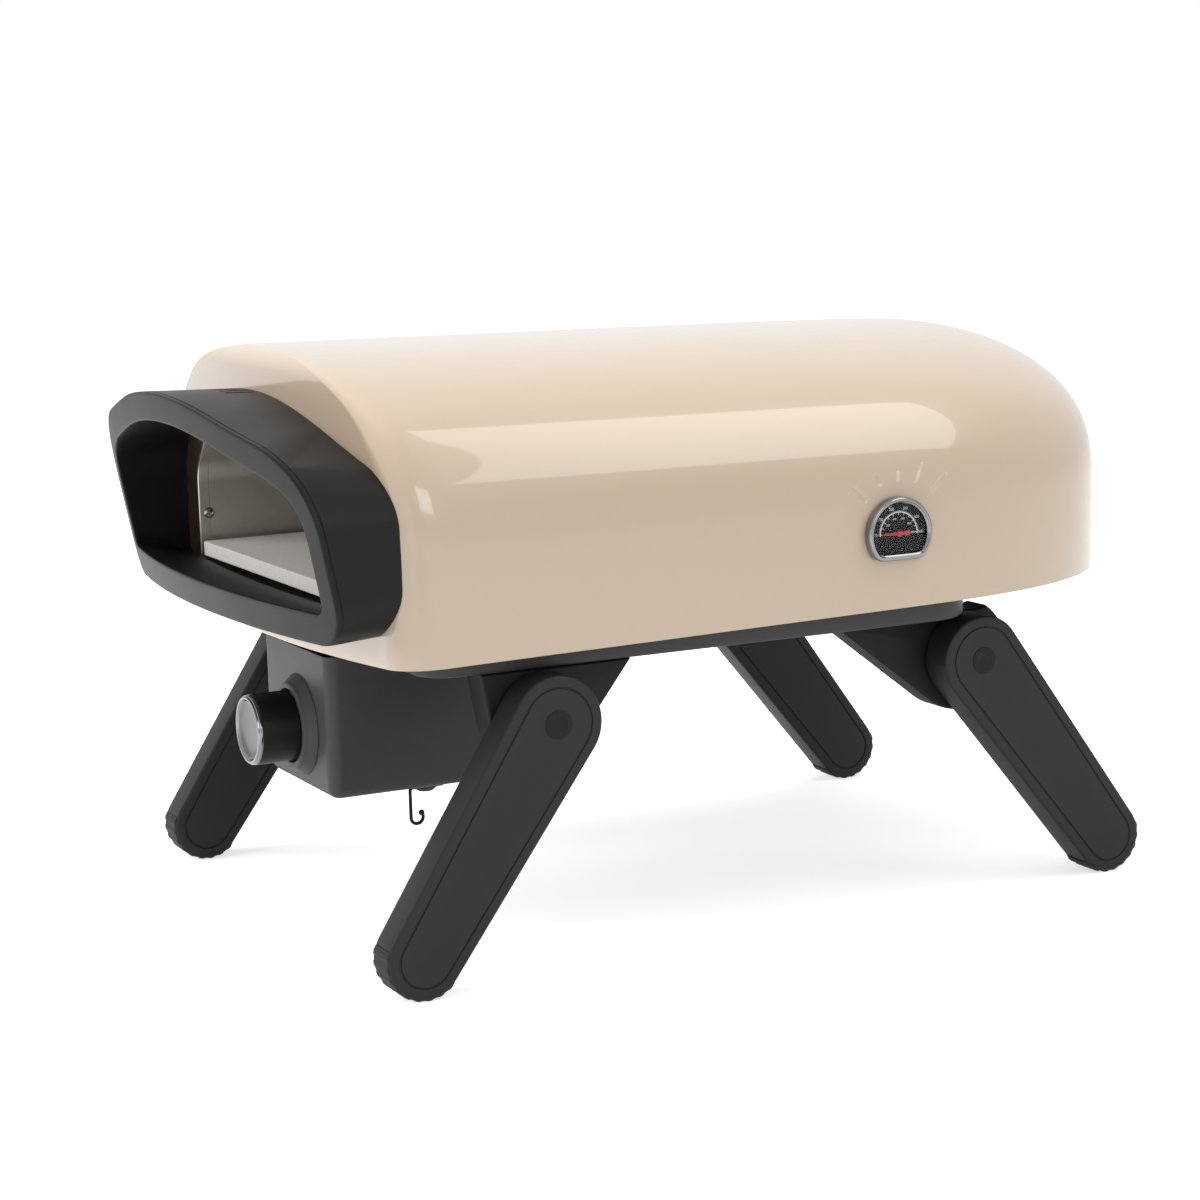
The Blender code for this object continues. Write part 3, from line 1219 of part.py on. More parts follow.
def make_knob():
    """Knob body with a pointer rib along its side and a seat for the bright ring."""
    seat = RING_DEPTH
    profile = [(0, KNOB_RADIUS - KNOB_EDGE), (-KNOB_EDGE, KNOB_RADIUS),
               (-KNOB_LENGTH + seat + KNOB_EDGE, KNOB_RADIUS),
               (-KNOB_LENGTH + seat, KNOB_RADIUS - KNOB_EDGE),
               (-KNOB_LENGTH + seat, FACE_RADIUS - SHEET)]
    knob = lathe("control_knob", "Y", (KNOB_X, KNOB_BACK_Y, KNOB_Z), profile, DARK_SATIN,
                 KNOB_STEPS)
    rib = box("join_knob_pointer",
              (KNOB_X - KNOB_POINTER, KNOB_BACK_Y - KNOB_LENGTH + seat + KNOB_EDGE * 2,
               KNOB_Z + KNOB_RADIUS - SHEET),
              (KNOB_X + KNOB_POINTER, KNOB_BACK_Y - KNOB_EDGE * 2,
               KNOB_Z + KNOB_RADIUS + KNOB_POINTER / 2), None, CUTTERS)
    boolean(knob, rib, "UNION")
    set_origin(knob, (KNOB_X, KNOB_BACK_Y, KNOB_Z))
    rib.location = (0, 0, 0)
    return knob


def make_knob_ring():
    """Bright ring round the knob's front."""
    soft = RING_DEPTH / 4
    depth = RING_DEPTH - GAP
    profile = [(0, RING_INNER_RADIUS), (0, RING_RADIUS), (-depth + soft, RING_RADIUS),
               (-depth, RING_RADIUS - soft), (-depth, RING_INNER_RADIUS + soft / 2),
               (-depth + soft, RING_INNER_RADIUS)]
    ring = lathe("knob_ring", "Y", (KNOB_X, RING_BACK_Y, KNOB_Z), profile, CHROME,
                 KNOB_STEPS, True)
    return set_origin(ring, (KNOB_X, RING_BACK_Y, KNOB_Z))


def make_knob_face():
    """Dished disc inside the bright ring."""
    profile = [(0, FACE_RADIUS), (-FACE_THICK, FACE_RADIUS),
               (-FACE_THICK + FACE_DISH / 4, FACE_RADIUS * 3 / 4),
               (-FACE_THICK + FACE_DISH / 3, FACE_RADIUS / 3)]
    disc = lathe("knob_face", "Y", (KNOB_X, RING_BACK_Y, KNOB_Z), profile, SATIN_METAL,
                 ROUND_STEPS)
    return set_origin(disc, (KNOB_X, RING_BACK_Y, KNOB_Z))


def make_inlet():
    """Brass inlet with a hexagon and a bore, behind the gas box."""
    centre = (BOX_MIDDLE_X, BOX_REAR_Y, INLET_Z)
    inside = -SHEET * 4
    hexagon = lathe("gas_inlet", "Y", centre,
                    [(GAP, INLET_HEX_RADIUS), (INLET_HEX_LENGTH, INLET_HEX_RADIUS)],
                    BRASS, HEX_STEPS)
    shank = rod("join_inlet_shank", "Y", centre, inside, INLET_HEX_LENGTH / 2,
                INLET_THREAD_RADIUS, None, SMALL_STEPS, CUTTERS)
    nose = rod("join_inlet_nose", "Y", centre, INLET_HEX_LENGTH / 2,
               INLET_HEX_LENGTH + INLET_THREAD_LENGTH, INLET_THREAD_RADIUS, None,
               SMALL_STEPS, CUTTERS)
    bore = rod("cut_inlet_bore", "Y", centre, INLET_HEX_LENGTH,
               INLET_HEX_LENGTH + INLET_THREAD_LENGTH + CUT_MARGIN, INLET_BORE_RADIUS, None,
               SMALL_STEPS, CUTTERS)
    boolean(hexagon, shank, "UNION")
    boolean(hexagon, nose, "UNION")
    boolean(hexagon, bore)
    hexagon.data.polygons.foreach_set("use_smooth", [False] * len(hexagon.data.polygons))
    return hexagon


# Thermometer
def dial_outline(inset, steps=KNOB_STEPS):
    """D shape: round above, flat below, with soft lower corners."""
    radius = DIAL_RADIUS - inset
    flat = DIAL_FLAT_DROP - inset
    outline = []
    for k in range(steps):
        angle = math.radians(FULL_TURN * k / steps)
        reach = radius
        down = -math.sin(angle)
        if down > 0:
            chord = flat / down
            power = DIAL_ROUND_POWER
            reach = (radius ** -power + chord ** -power) ** (-1 / power)
        outline.append((DIAL_Y + reach * math.cos(angle), DIAL_Z + reach * math.sin(angle)))
    return outline


def dial_ring(name, layers, material, closed):
    """Stack D outlines given as (height from the wall, inset) pairs."""
    sections = [[(DIAL_WALL_X + height, y, z) for y, z in dial_outline(inset)]
                for height, inset in layers]
    return flip_if_inside_out(loft(name, sections, material, closed, False))


def make_bezel():
    """Bright rounded ring round the dial."""
    band = BEZEL_BAND
    soft = BEZEL_ROUND
    return dial_ring("dial_bezel", [
        (0, band), (0, 0), (BEZEL_DEPTH - soft * 2, 0), (BEZEL_DEPTH - soft / 2, soft / 2),
        (BEZEL_DEPTH, soft), (BEZEL_DEPTH, band - soft), (BEZEL_DEPTH - soft, band)],
        CHROME, True)


def make_dial_case():
    """Back plate with the neck that passes through the hood."""
    inset = BEZEL_BAND + GAP
    case = dial_ring("dial_case", [(0, inset), (CASE_DEPTH, inset)], BLACK_PAINT, False)
    neck = rod("join_case_neck", "X", (DIAL_WALL_X, DIAL_Y, DIAL_Z),
               -NECK_REACH, CASE_DEPTH / 2, NECK_RADIUS, None,
               SMALL_STEPS, CUTTERS)
    return boolean(case, neck, "UNION")


def make_dial():
    """Thin black plate that carries the scale."""
    base = CASE_DEPTH + GAP
    inset = BEZEL_BAND + GAP
    return dial_ring("dial_plate", [(base, inset), (base + DIAL_PLATE, inset)], DIAL_BLACK, False)


def make_needle():
    """Red needle: a fine tip to the left and a round tail to the right."""
    outline = [(DIAL_Y - NEEDLE_LENGTH, DIAL_Z - NEEDLE_HALF_WIDTH / 4),
               (DIAL_Y, DIAL_Z - NEEDLE_HALF_WIDTH)]
    tail = DIAL_Y + NEEDLE_TAIL - NEEDLE_HALF_WIDTH * 2
    outline += arc_points((tail, DIAL_Z), NEEDLE_HALF_WIDTH * 3 / 2, -90, 90,
                          NEEDLE_TAIL_STEPS)
    outline += [(DIAL_Y, DIAL_Z + NEEDLE_HALF_WIDTH),
                (DIAL_Y - NEEDLE_LENGTH, DIAL_Z + NEEDLE_HALF_WIDTH / 4)]
    low = DIAL_WALL_X + NEEDLE_BASE
    needle = prism("dial_needle", "X", outline, low, low + NEEDLE_THICK, NEEDLE_RED)
    hub = rod("join_needle_hub", "X", (DIAL_WALL_X, DIAL_Y, DIAL_Z),
              NEEDLE_BASE - NEEDLE_LIFT + GAP * 2, NEEDLE_BASE + NEEDLE_THICK + GAP,
              HUB_RADIUS, None, SMALL_STEPS, CUTTERS)
    boolean(needle, hub, "UNION")
    return set_origin(needle, (low, DIAL_Y, DIAL_Z))


def make_lens():
    """Clear cover held inside the bezel."""
    top = BEZEL_DEPTH - BEZEL_ROUND
    inset = BEZEL_BAND + GAP
    return dial_ring("dial_lens", [(top - LENS_THICK, inset), (top, inset)], CLEAR, False)


def make_stem():
    """Sensing stem from the neck, through the wool and liner, into the chamber."""
    return rod("dial_stem", "X", (0, DIAL_Y, DIAL_Z), CHAMBER_HALF_WIDTH - STEM_REACH,
               NECK_END_X - GAP, STEM_RADIUS, SATIN_METAL, SMALL_STEPS)


def make_dial_nut():
    """Six-sided nut that clamps the neck from inside the hood."""
    inner = HOOD_HALF_WIDTH - SHEET - GAP
    nut = lathe("dial_nut", "X", (inner, DIAL_Y, DIAL_Z), [(-NUT_THICK, NUT_RADIUS), (0, NUT_RADIUS)],
                SATIN_METAL, HEX_STEPS)
    hole = rod("cut_nut_hole", "X", (inner, DIAL_Y, DIAL_Z), -NUT_THICK - CUT_MARGIN, CUT_MARGIN,
               NECK_RADIUS + GAP, None, SMALL_STEPS, CUTTERS)
    nut.data.polygons.foreach_set("use_smooth", [False] * len(nut.data.polygons))
    return boolean(nut, hole)


# Legs
def capsule(pivot, foot, pivot_radius, foot_radius):
    """Outline round two circles of different size, as (y, z) pairs."""
    pivot, foot = Vector(pivot), Vector(foot)
    run = foot - pivot
    heading = math.degrees(math.atan2(run.y, run.x))
    lean = math.degrees(math.acos((pivot_radius - foot_radius) / run.length))
    first = arc_points(tuple(pivot), pivot_radius, heading + lean,
                       heading + FULL_TURN - lean, CAPSULE_STEPS)
    second = arc_points(tuple(foot), foot_radius, heading - lean, heading + lean, CAPSULE_STEPS)
    return first + second


def make_leg(name, side, pivot_y, foot_y, outer_x):
    """Leg body: rounded edges, a fine groove parallel to its outline, a pin hole."""
    pivot = (pivot_y, PIVOT_Z)
    foot = (foot_y, FOOT_RADIUS)
    groove = LEG_GROOVE_INSET
    layers = [(-LEG_THICK, LEG_ROUND), (-LEG_THICK + LEG_ROUND, 0), (-LEG_ROUND, 0),
              (-LEG_ROUND / 3, LEG_ROUND / 3), (0, LEG_ROUND),
              (0, groove), (-LEG_GROOVE_DEPTH, groove),
              (-LEG_GROOVE_DEPTH, groove + LEG_GROOVE_WIDTH), (0, groove + LEG_GROOVE_WIDTH)]
    sections = []
    for height, inset in layers:
        outline = capsule(pivot, foot, PIVOT_END_RADIUS - inset, LEG_END_RADIUS - inset)
        sections.append([(side * (outer_x + height), y, z) for y, z in outline])
    leg = flip_if_inside_out(loft(name, sections, LEG_PLASTIC))
    inner_x = outer_x - LEG_THICK
    hole = lathe("cut_" + name, "X", (side * outer_x, pivot_y, PIVOT_Z),
                 [(side * CUT_MARGIN, PIN_HEAD_RADIUS + GAP),
                  (-side * (PIN_HEAD_THICK - PIN_HEAD_PROUD + GAP), PIN_HEAD_RADIUS + GAP),
                  (-side * (PIN_HEAD_THICK - PIN_HEAD_PROUD + GAP), PIN_RADIUS + PIN_CLEARANCE),
                  (-side * (LEG_THICK + CUT_MARGIN), PIN_RADIUS + PIN_CLEARANCE)],
                 None, ROUND_STEPS, False, CUTTERS)
    boolean(leg, hole)
    recess = pad_sector("cut_pad_" + name, side, pivot_y, foot_y, inner_x, outer_x,
                        GAP, PAD_SEAT_RADIUS, FOOT_RADIUS + CUT_MARGIN, False, CUTTERS, None)
    boolean(leg, recess)
    return set_origin(leg, (side * outer_x, pivot_y, PIVOT_Z))


def pad_sector(name, side, pivot_y, foot_y, inner_x, outer_x, grow, inner_radius,
               outer_radius, ribbed, collection, material):
    """Part of a ring round the foot's circle, from its outward face to under it."""
    outward = 1 if foot_y < pivot_y else -1
    steps = PAD_RIB_COUNT * RIB_STEPS
    low_x = inner_x + PAD_SIDE_INSET - grow
    high_x = outer_x - PAD_SIDE_INSET + grow
    spread = math.degrees(grow / inner_radius)
    start, end = PAD_START - spread, PAD_END + spread
    outer = []
    for k in range(steps + 1):
        angle = math.radians(start + (end - start) * k / steps)
        dent = PAD_RIB_DEPTH if ribbed and k % RIB_STEPS == RIB_STEPS // 2 else 0
        reach = outer_radius - dent
        outer.append((reach * math.cos(angle), reach * math.sin(angle)))
    inner = arc_points((0, 0), inner_radius, end, start, steps)
    outline = [(foot_y + outward * y, FOOT_RADIUS + z) for y, z in outer + inner]
    ends = sorted((side * low_x, side * high_x))
    return prism(name, "X", outline, ends[0], ends[1], material, collection)


def make_foot_pad(name, side, pivot_y, foot_y, outer_x):
    """Ribbed rubber strip let into the rounded end of a leg."""
    inner_x = outer_x - LEG_THICK
    pad = pad_sector(name, side, pivot_y, foot_y, inner_x, outer_x, 0, PAD_SEAT_RADIUS + GAP,
                     FOOT_RADIUS, True, OVEN, RUBBER)
    return set_origin(pad, (side * outer_x, pivot_y, PIVOT_Z))


def make_leg_bracket(name, side, pivot_y, outer_x, ahead_run, behind_run, radius):
    """Block between the tray and the leg, rounded round the pivot, with a boss."""
    leg_inner = outer_x - LEG_THICK
    face = leg_inner - MOVING_GAP
    back = face - BOSS_LENGTH - LEG_BRACKET_THICK
    top = TRAY_BOTTOM_Z - GAP
    corners = [(pivot_y - ahead_run, top), (pivot_y + behind_run, top)]
    outline = bracket_outline(corners, (pivot_y, PIVOT_Z), radius)
    ends = sorted((side * back, side * (face - BOSS_LENGTH)))
    bracket = prism(name, "X", outline, ends[0], ends[1], BLACK_PAINT)
    boss = rod("join_boss_" + name, "X", (0, pivot_y, PIVOT_Z), side * (back + SHEET),
               side * face, min(BOSS_RADIUS, top - PIVOT_Z), None, ROUND_STEPS, CUTTERS)
    boolean(bracket, boss, "UNION")
    bore = rod("cut_bore_" + name, "X", (0, pivot_y, PIVOT_Z), side * (back - CUT_MARGIN),
               side * (face + CUT_MARGIN), PIN_RADIUS + GAP, None, ROUND_STEPS, CUTTERS)
    return boolean(bracket, bore)


def bracket_outline(corners, pivot, radius):
    """Top edge between two corners, closed by tangents to a circle round the pivot."""
    left, right = corners
    outline = [left]

    def tangent_angle(point, sign):
        run = Vector(point) - Vector(pivot)
        reach = max(run.length, radius + GAP)
        return math.degrees(math.atan2(run.y, run.x) + sign * math.acos(radius / reach))

    start = tangent_angle(left, 1)
    end = tangent_angle(right, -1)
    while start < 0:
        start += FULL_TURN
    while end < start:
        end += FULL_TURN
    outline += arc_points(pivot, radius, start, end, CAPSULE_STEPS)
    outline.append(right)
    return outline


def make_pivot_pin(name, side, pivot_y, outer_x):
    """Pin with a low round head; it stays in the bracket while the leg turns."""
    leg_inner = outer_x - LEG_THICK
    back = leg_inner - MOVING_GAP - BOSS_LENGTH - LEG_BRACKET_THICK
    head_out = outer_x + PIN_HEAD_PROUD
    head_in = head_out - PIN_HEAD_THICK
    profile = [(back, PIN_RADIUS), (head_in, PIN_RADIUS), (head_in, PIN_HEAD_RADIUS),
               (head_out - GAP, PIN_HEAD_RADIUS), (head_out, PIN_HEAD_RADIUS - GAP)]
    turned = [(side * height, radius) for height, radius in profile]
    return lathe(name, "X", (0, pivot_y, PIVOT_Z), turned, BLACK_PAINT, ROUND_STEPS)


# Wire hook
def make_hook():
    """Bent wire: a straight run under the box, a drop and a small curl."""
    top = HOOK_WIRE_Z
    half = HOOK_CURL / 2
    bend = arc_points((HOOK_Y + half, top - half), half, 90, 180, HOOK_BEND_STEPS)
    curl = arc_points((HOOK_Y + HOOK_CURL, top - HOOK_DROP), HOOK_CURL, 180, 400, HOOK_CURL_STEPS)
    side_view = [(HOOK_Y + HOOK_RUN, top), (HOOK_Y + HOOK_CURL, top), *bend, *curl]
    points = [(HOOK_X, y, z) for y, z in side_view]
    hook = tube("wire_hook", points, HOOK_WIRE_RADIUS, BLACK_PAINT)
    return set_origin(hook, (HOOK_X, HOOK_Y, top))


def make_saddle():
    """Bent strap that carries the hook's straight run under the box."""
    top = BOX_BOTTOM_Z - GAP
    y = HOOK_Y + HOOK_RUN / 2
    low = top - SADDLE_DEPTH
    outline = [(HOOK_X - SADDLE_REACH, top), (HOOK_X - SADDLE_REACH, top - SHEET),
               (HOOK_X - SADDLE_REACH / 2, low), (HOOK_X + SADDLE_REACH / 2, low),
               (HOOK_X + SADDLE_REACH, top - SHEET), (HOOK_X + SADDLE_REACH, top)]
    strap = prism("hook_saddle", "Y", [(z, x) for x, z in outline],
                  y - SADDLE_WIDTH / 2, y + SADDLE_WIDTH / 2, DARK_STEEL)
    tunnel = box("cut_saddle_tunnel",
                 (HOOK_X - HOOK_CUT_HALF, y - SADDLE_WIDTH, HOOK_WIRE_Z - HOOK_CUT_HALF),
                 (HOOK_X + HOOK_CUT_HALF, y + SADDLE_WIDTH, top + CUT_MARGIN), None, CUTTERS)
    return boolean(strap, tunnel)


# Assembly
make_hood()
make_mouth_frame()
make_base_tray()
make_chamber_floor()
make_liner()
make_liner_back()
make_insulation()
make_baffle()
make_stone()
make_burner()
make_burner_guard()
make_mixer()
make_gas_line()
make_jet()
make_electrode()
make_lead()
make_gas_box()
make_valve()
make_return_cap()
make_spindle()
make_knob_collar()
make_knob()
make_knob_ring()
make_knob_face()
make_inlet()
make_bezel()
make_dial_case()
make_dial()
make_needle()
make_lens()
make_stem()
make_dial_nut()
make_hook()
make_saddle()

for side, word in ((-1, "left"), (1, "right")):
    make_liner_screw(side, word)
    make_stone_rest(side, word)
    make_burner_bracket(side, word)
    make_leg(f"leg_front_{word}", side, FRONT_PIVOT_Y, FRONT_FOOT_Y, FRONT_LEG_OUTER_X)
    make_leg(f"leg_rear_{word}", side, REAR_PIVOT_Y, REAR_FOOT_Y, REAR_LEG_OUTER_X)
    make_foot_pad(f"foot_pad_front_{word}", side, FRONT_PIVOT_Y, FRONT_FOOT_Y, FRONT_LEG_OUTER_X)
    make_foot_pad(f"foot_pad_rear_{word}", side, REAR_PIVOT_Y, REAR_FOOT_Y, REAR_LEG_OUTER_X)
    make_leg_bracket(f"leg_bracket_front_{word}", side, FRONT_PIVOT_Y, FRONT_LEG_OUTER_X,
                     FRONT_BRACKET_AHEAD, FRONT_BRACKET_BEHIND, FRONT_BRACKET_RADIUS)
    make_leg_bracket(f"leg_bracket_rear_{word}", side, REAR_PIVOT_Y, REAR_LEG_OUTER_X,
                     REAR_BRACKET_AHEAD, REAR_BRACKET_BEHIND, REAR_BRACKET_RADIUS)
    make_pivot_pin(f"pivot_pin_front_{word}", side, FRONT_PIVOT_Y, FRONT_LEG_OUTER_X)
    make_pivot_pin(f"pivot_pin_rear_{word}", side, REAR_PIVOT_Y, REAR_LEG_OUTER_X)
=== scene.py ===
# %% [markdown]
# # A portable gas pizza oven
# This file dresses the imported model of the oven, piece by piece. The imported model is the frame:
# it says where every part is and what moves. Here each part gets its fine shape and its finish.
# Lengths are metres. The mouth faces -Y, the thermometer side is +X, and the floor is z = 0.

import bmesh
import bpy
import numpy as np
from mathutils import Matrix, Vector


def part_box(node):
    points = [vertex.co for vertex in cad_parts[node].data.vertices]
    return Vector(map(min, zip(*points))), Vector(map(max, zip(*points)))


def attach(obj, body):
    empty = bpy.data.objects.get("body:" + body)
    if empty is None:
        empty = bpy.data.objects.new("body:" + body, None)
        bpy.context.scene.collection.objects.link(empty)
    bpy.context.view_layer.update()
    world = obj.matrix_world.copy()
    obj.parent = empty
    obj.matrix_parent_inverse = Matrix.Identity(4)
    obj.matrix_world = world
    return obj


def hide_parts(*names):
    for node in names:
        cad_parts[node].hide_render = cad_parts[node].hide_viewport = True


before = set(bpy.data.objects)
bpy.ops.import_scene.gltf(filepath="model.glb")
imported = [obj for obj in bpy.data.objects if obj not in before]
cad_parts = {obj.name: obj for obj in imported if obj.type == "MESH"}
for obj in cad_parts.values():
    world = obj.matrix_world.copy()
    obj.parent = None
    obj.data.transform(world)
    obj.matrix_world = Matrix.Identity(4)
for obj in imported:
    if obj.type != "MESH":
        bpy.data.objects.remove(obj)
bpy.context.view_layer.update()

# %% [markdown]
# ## The oven's own middle
# The shapes below are written from the middle of the oven's chamber, which is a little behind the
# middle of the whole object. The gas box's front wall is a plane with a known place in both, so
# it gives the shift from one to the other, and no number has to be fitted by eye.

# %% The shift from chamber to floor middle
GAP = 0.0003
SHEET = 0.0015
BOX_FRONT_Y = -0.245
SHIFT_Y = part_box("gas_box")[0].y - BOX_FRONT_Y
print("shift", round(SHIFT_Y, 6))

# %% [markdown]
# ## The camera
# A photograph taken from about two metres with a long lens keeps a small object free of stretch.
# The camera below stands at the same angle. Its axes are worked out from an azimuth, a height
# angle and a small roll, because a matrix made from three directions can't flip as angles can.

# %% The camera
AZIMUTH, ELEVATION, ROLL = np.radians([63.939, 9.179, -1.648])
DISTANCE, FOCAL_LENGTH, SENSOR_WIDTH = 2.073, 85.27, 36
LOOK_AT = np.array([0.0, SHIFT_Y, 0.2046])


def new_object(name, data):
    """An object in the scene that holds a mesh, a text, a lamp or a camera."""
    thing = bpy.data.objects.new(name, data)
    bpy.context.scene.collection.objects.link(thing)
    return thing


def camera_axes(azimuth, elevation, roll):
    """Right, up and forward unit vectors of a camera that looks back along its azimuth."""
    forward = np.array([-np.sin(azimuth) * np.cos(elevation),
                        np.cos(azimuth) * np.cos(elevation), -np.sin(elevation)])
    level = np.array([np.cos(azimuth), np.sin(azimuth), 0.0])
    above = np.cross(level, forward)
    right = np.cos(roll) * level + np.sin(roll) * above
    return right, -np.sin(roll) * level + np.cos(roll) * above, forward


right_axis, up_axis, forward_axis = camera_axes(AZIMUTH, ELEVATION, ROLL)
optics = bpy.data.cameras.new("studio_camera")
optics.lens, optics.sensor_width = FOCAL_LENGTH, SENSOR_WIDTH
camera = new_object("studio_camera", optics)
turn = Matrix([list(row) for row in np.stack([right_axis, up_axis, -forward_axis]).T])
camera.matrix_world = Matrix.Translation(list(LOOK_AT - forward_axis * DISTANCE)) @ turn.to_4x4()
bpy.context.scene.camera = camera
print("camera at", [round(v, 3) for v in camera.matrix_world.translation])

# %% [markdown]
# ## Node groups for effects that several finishes share
# Grain, tone and brushing are the same idea in many materials, so each is a node group with
# named inputs. A group only works out colours and values. The shader itself stays in the
# material, where every constant is set on its own socket.

# %% Helpers for nodes
FLOAT, COLOUR, VECTOR = "NodeSocketFloat", "NodeSocketColor", "NodeSocketVector"


def new_group(name, inputs, outputs):
    """An empty node group: inputs are (label, type, value), and outputs are (label, type)."""
    group = bpy.data.node_groups.new(name, "ShaderNodeTree")
    for label, kind, value in inputs:
        group.interface.new_socket(label, in_out="INPUT", socket_type=kind).default_value = value
    for label, kind in outputs:
        group.interface.new_socket(label, in_out="OUTPUT", socket_type=kind)
    print("group", name)
    start, end = group.nodes.new("NodeGroupInput"), group.nodes.new("NodeGroupOutput")
    return group, start.outputs, end.inputs


def node(tree, kind, links=None, **settings):
    """A node with its settings, and its input sockets linked or set by name or number."""
    made = tree.nodes.new(kind)
    for key, value in settings.items():
        setattr(made, key, value)
    for key, value in (links or {}).items():
        if isinstance(value, bpy.types.NodeSocket):
            tree.links.new(value, made.inputs[key])
        else:
            made.inputs[key].default_value = value
    return made


def maths(tree, operation, *values):
    """The result of a Math node. Each value is a number or the output of another node."""
    return node(tree, "ShaderNodeMath", dict(enumerate(values)), operation=operation).outputs[0]


def own_place(tree):
    """The object's own coordinates, which stay with the piece when it moves."""
    return node(tree, "ShaderNodeTexCoord").outputs["Object"]


def noise(tree, place, scale, detail):
    """The value of a noise at a place."""
    links = {"Vector": place, "Scale": scale, "Detail": detail}
    return node(tree, "ShaderNodeTexNoise", links).outputs["Fac"]


def wandering(tree, value, given):
    """A roughness that moves round its middle: (value - 0.5) * wander + roughness."""
    away = maths(tree, "SUBTRACT", value, 0.5)
    return maths(tree, "MULTIPLY_ADD", away, given["Wander"], given["Roughness"])


# %% [markdown]
# ### Tone
# No painted surface has one colour. Slow clouds of slightly darker and lighter tone, a few
# centimetres across, are what the eye takes for a real coat. Two noises of different size
# are added, and their sum scales the colour up or down by a small spread.

# %% Tone group
tone_group, given, result = new_group(
    "tone_clouds",
    [("Colour", COLOUR, (0.5, 0.5, 0.5, 1)), ("Spread", FLOAT, 0.05), ("Size", FLOAT, 12.0)],
    [("Colour", COLOUR)])
place = own_place(tone_group)
clouds = maths(tone_group, "ADD", noise(tone_group, place, given["Size"], 3.0),
               noise(tone_group, place, 160.0, 4.0))
swing = maths(tone_group, "SUBTRACT", clouds, 1.0)
scale = maths(tone_group, "MULTIPLY_ADD", swing, given["Spread"], 1.0)
tinted = node(tone_group, "ShaderNodeVectorMath", {0: given["Colour"], "Scale": scale},
              operation="SCALE")
tone_group.links.new(tinted.outputs[0], result["Colour"])

# %% [markdown]
# ### Grain
# Powder coat, moulded plastic and enamel all have a fine skin. The grain group gives a height
# for the Bump node and a roughness that wanders a little in patches.

# %% Grain group
grain_group, given, result = new_group(
    "fine_grain",
    [("Size", FLOAT, 900.0), ("Roughness", FLOAT, 0.5), ("Wander", FLOAT, 0.05)],
    [("Height", FLOAT), ("Roughness", FLOAT)])
place = own_place(grain_group)
pebbles = noise(grain_group, place, given["Size"], 5.0)
patches = noise(grain_group, place, 30.0, 3.0)
grain_group.links.new(pebbles, result["Height"])
grain_group.links.new(wandering(grain_group, patches, given), result["Roughness"])

# %% [markdown]
# ### Brushing
# Brushed sheet has long fine scratches in one direction. A noise whose coordinates are
# squeezed along that direction gives lines. The Stretch input holds the scale per axis.

# %% Brushing group
brush_group, given, result = new_group(
    "brushed_lines",
    [("Stretch", VECTOR, (900.0, 8.0, 900.0)), ("Roughness", FLOAT, 0.35), ("Wander", FLOAT, 0.2)],
    [("Height", FLOAT), ("Roughness", FLOAT)])
pulled = node(brush_group, "ShaderNodeVectorMath",
              {0: own_place(brush_group), 1: given["Stretch"]}, operation="MULTIPLY")
lines = noise(brush_group, pulled.outputs[0], 1.0, 4.0)
brush_group.links.new(lines, result["Height"])
brush_group.links.new(wandering(brush_group, lines, given), result["Roughness"])

# %% [markdown]
# ### Rubbed edges
# Hands and crates rub the coat on edges first. Cycles' Pointiness is above one half on ridges.
# A narrow map range turns it into a mask, and noise breaks the mask up so it isn't a drawn line.

# %% Rubbed edge group
edge_group, given, result = new_group("rubbed_edges", [("Amount", FLOAT, 0.3)], [("Mask", FLOAT)])
ridge = node(edge_group, "ShaderNodeNewGeometry").outputs["Pointiness"]
narrow = node(edge_group, "ShaderNodeMapRange",
              {"Value": ridge, "From Min": 0.51, "From Max": 0.58, "To Min": 0.0, "To Max": 1.0})
broken = maths(edge_group, "MULTIPLY", narrow.outputs[0],
               noise(edge_group, own_place(edge_group), 220.0, 4.0))
edge_group.links.new(maths(edge_group, "MULTIPLY", broken, given["Amount"]), result["Mask"])

# %% [markdown]
# ### Speckle
# Fired stone and cordierite hold dark and pale grains. Voronoi cells with a random value each
# give grains with clear borders. The darkest few are picked out, and everything else stays pale.

# %% Speckle group
speckle_group, given, result = new_group(
    "stone_speckle", [("Size", FLOAT, 420.0), ("Share", FLOAT, 0.12)],
    [("Mask", FLOAT), ("Height", FLOAT)])
place = own_place(speckle_group)
cells = node(speckle_group, "ShaderNodeTexVoronoi", {"Vector": place, "Scale": given["Size"]})
value = node(speckle_group, "ShaderNodeSeparateColor", {0: cells.outputs["Color"]}).outputs[0]
picked = maths(speckle_group, "LESS_THAN", value, given["Share"])
speckle_group.links.new(picked, result["Mask"])
speckle_group.links.new(noise(speckle_group, place, 700.0, 6.0), result["Height"])

# %% [markdown]
# ## Finishes
# Every finish is a Principled shader whose colour and roughness come through the groups above.
# One function wires them: tone, rubbed edges or speckle, grain or brushing, and a bump. The
# distance of each bump is in metres, so it is a real height: a tenth of a millimetre or less.


# %% Helpers for finishes
def group_node(material, group, **values):
    """A group placed in a material, with its inputs set by label, and its outputs given back."""
    made = material.node_tree.nodes.new("ShaderNodeGroup")
    made.node_tree = group
    for label, value in values.items():
        made.inputs[label].default_value = value
    return made.outputs


def new_finish(name, **constants):
    """A material with a Principled shader, whose constants are set on their own sockets."""
    material = bpy.data.materials.new(name)
    material.use_nodes = True
    shader = material.node_tree.nodes["Principled BSDF"]
    for label, value in constants.items():
        shader.inputs[label.replace("_", " ")].default_value = value
    return material, material.node_tree, shader.inputs


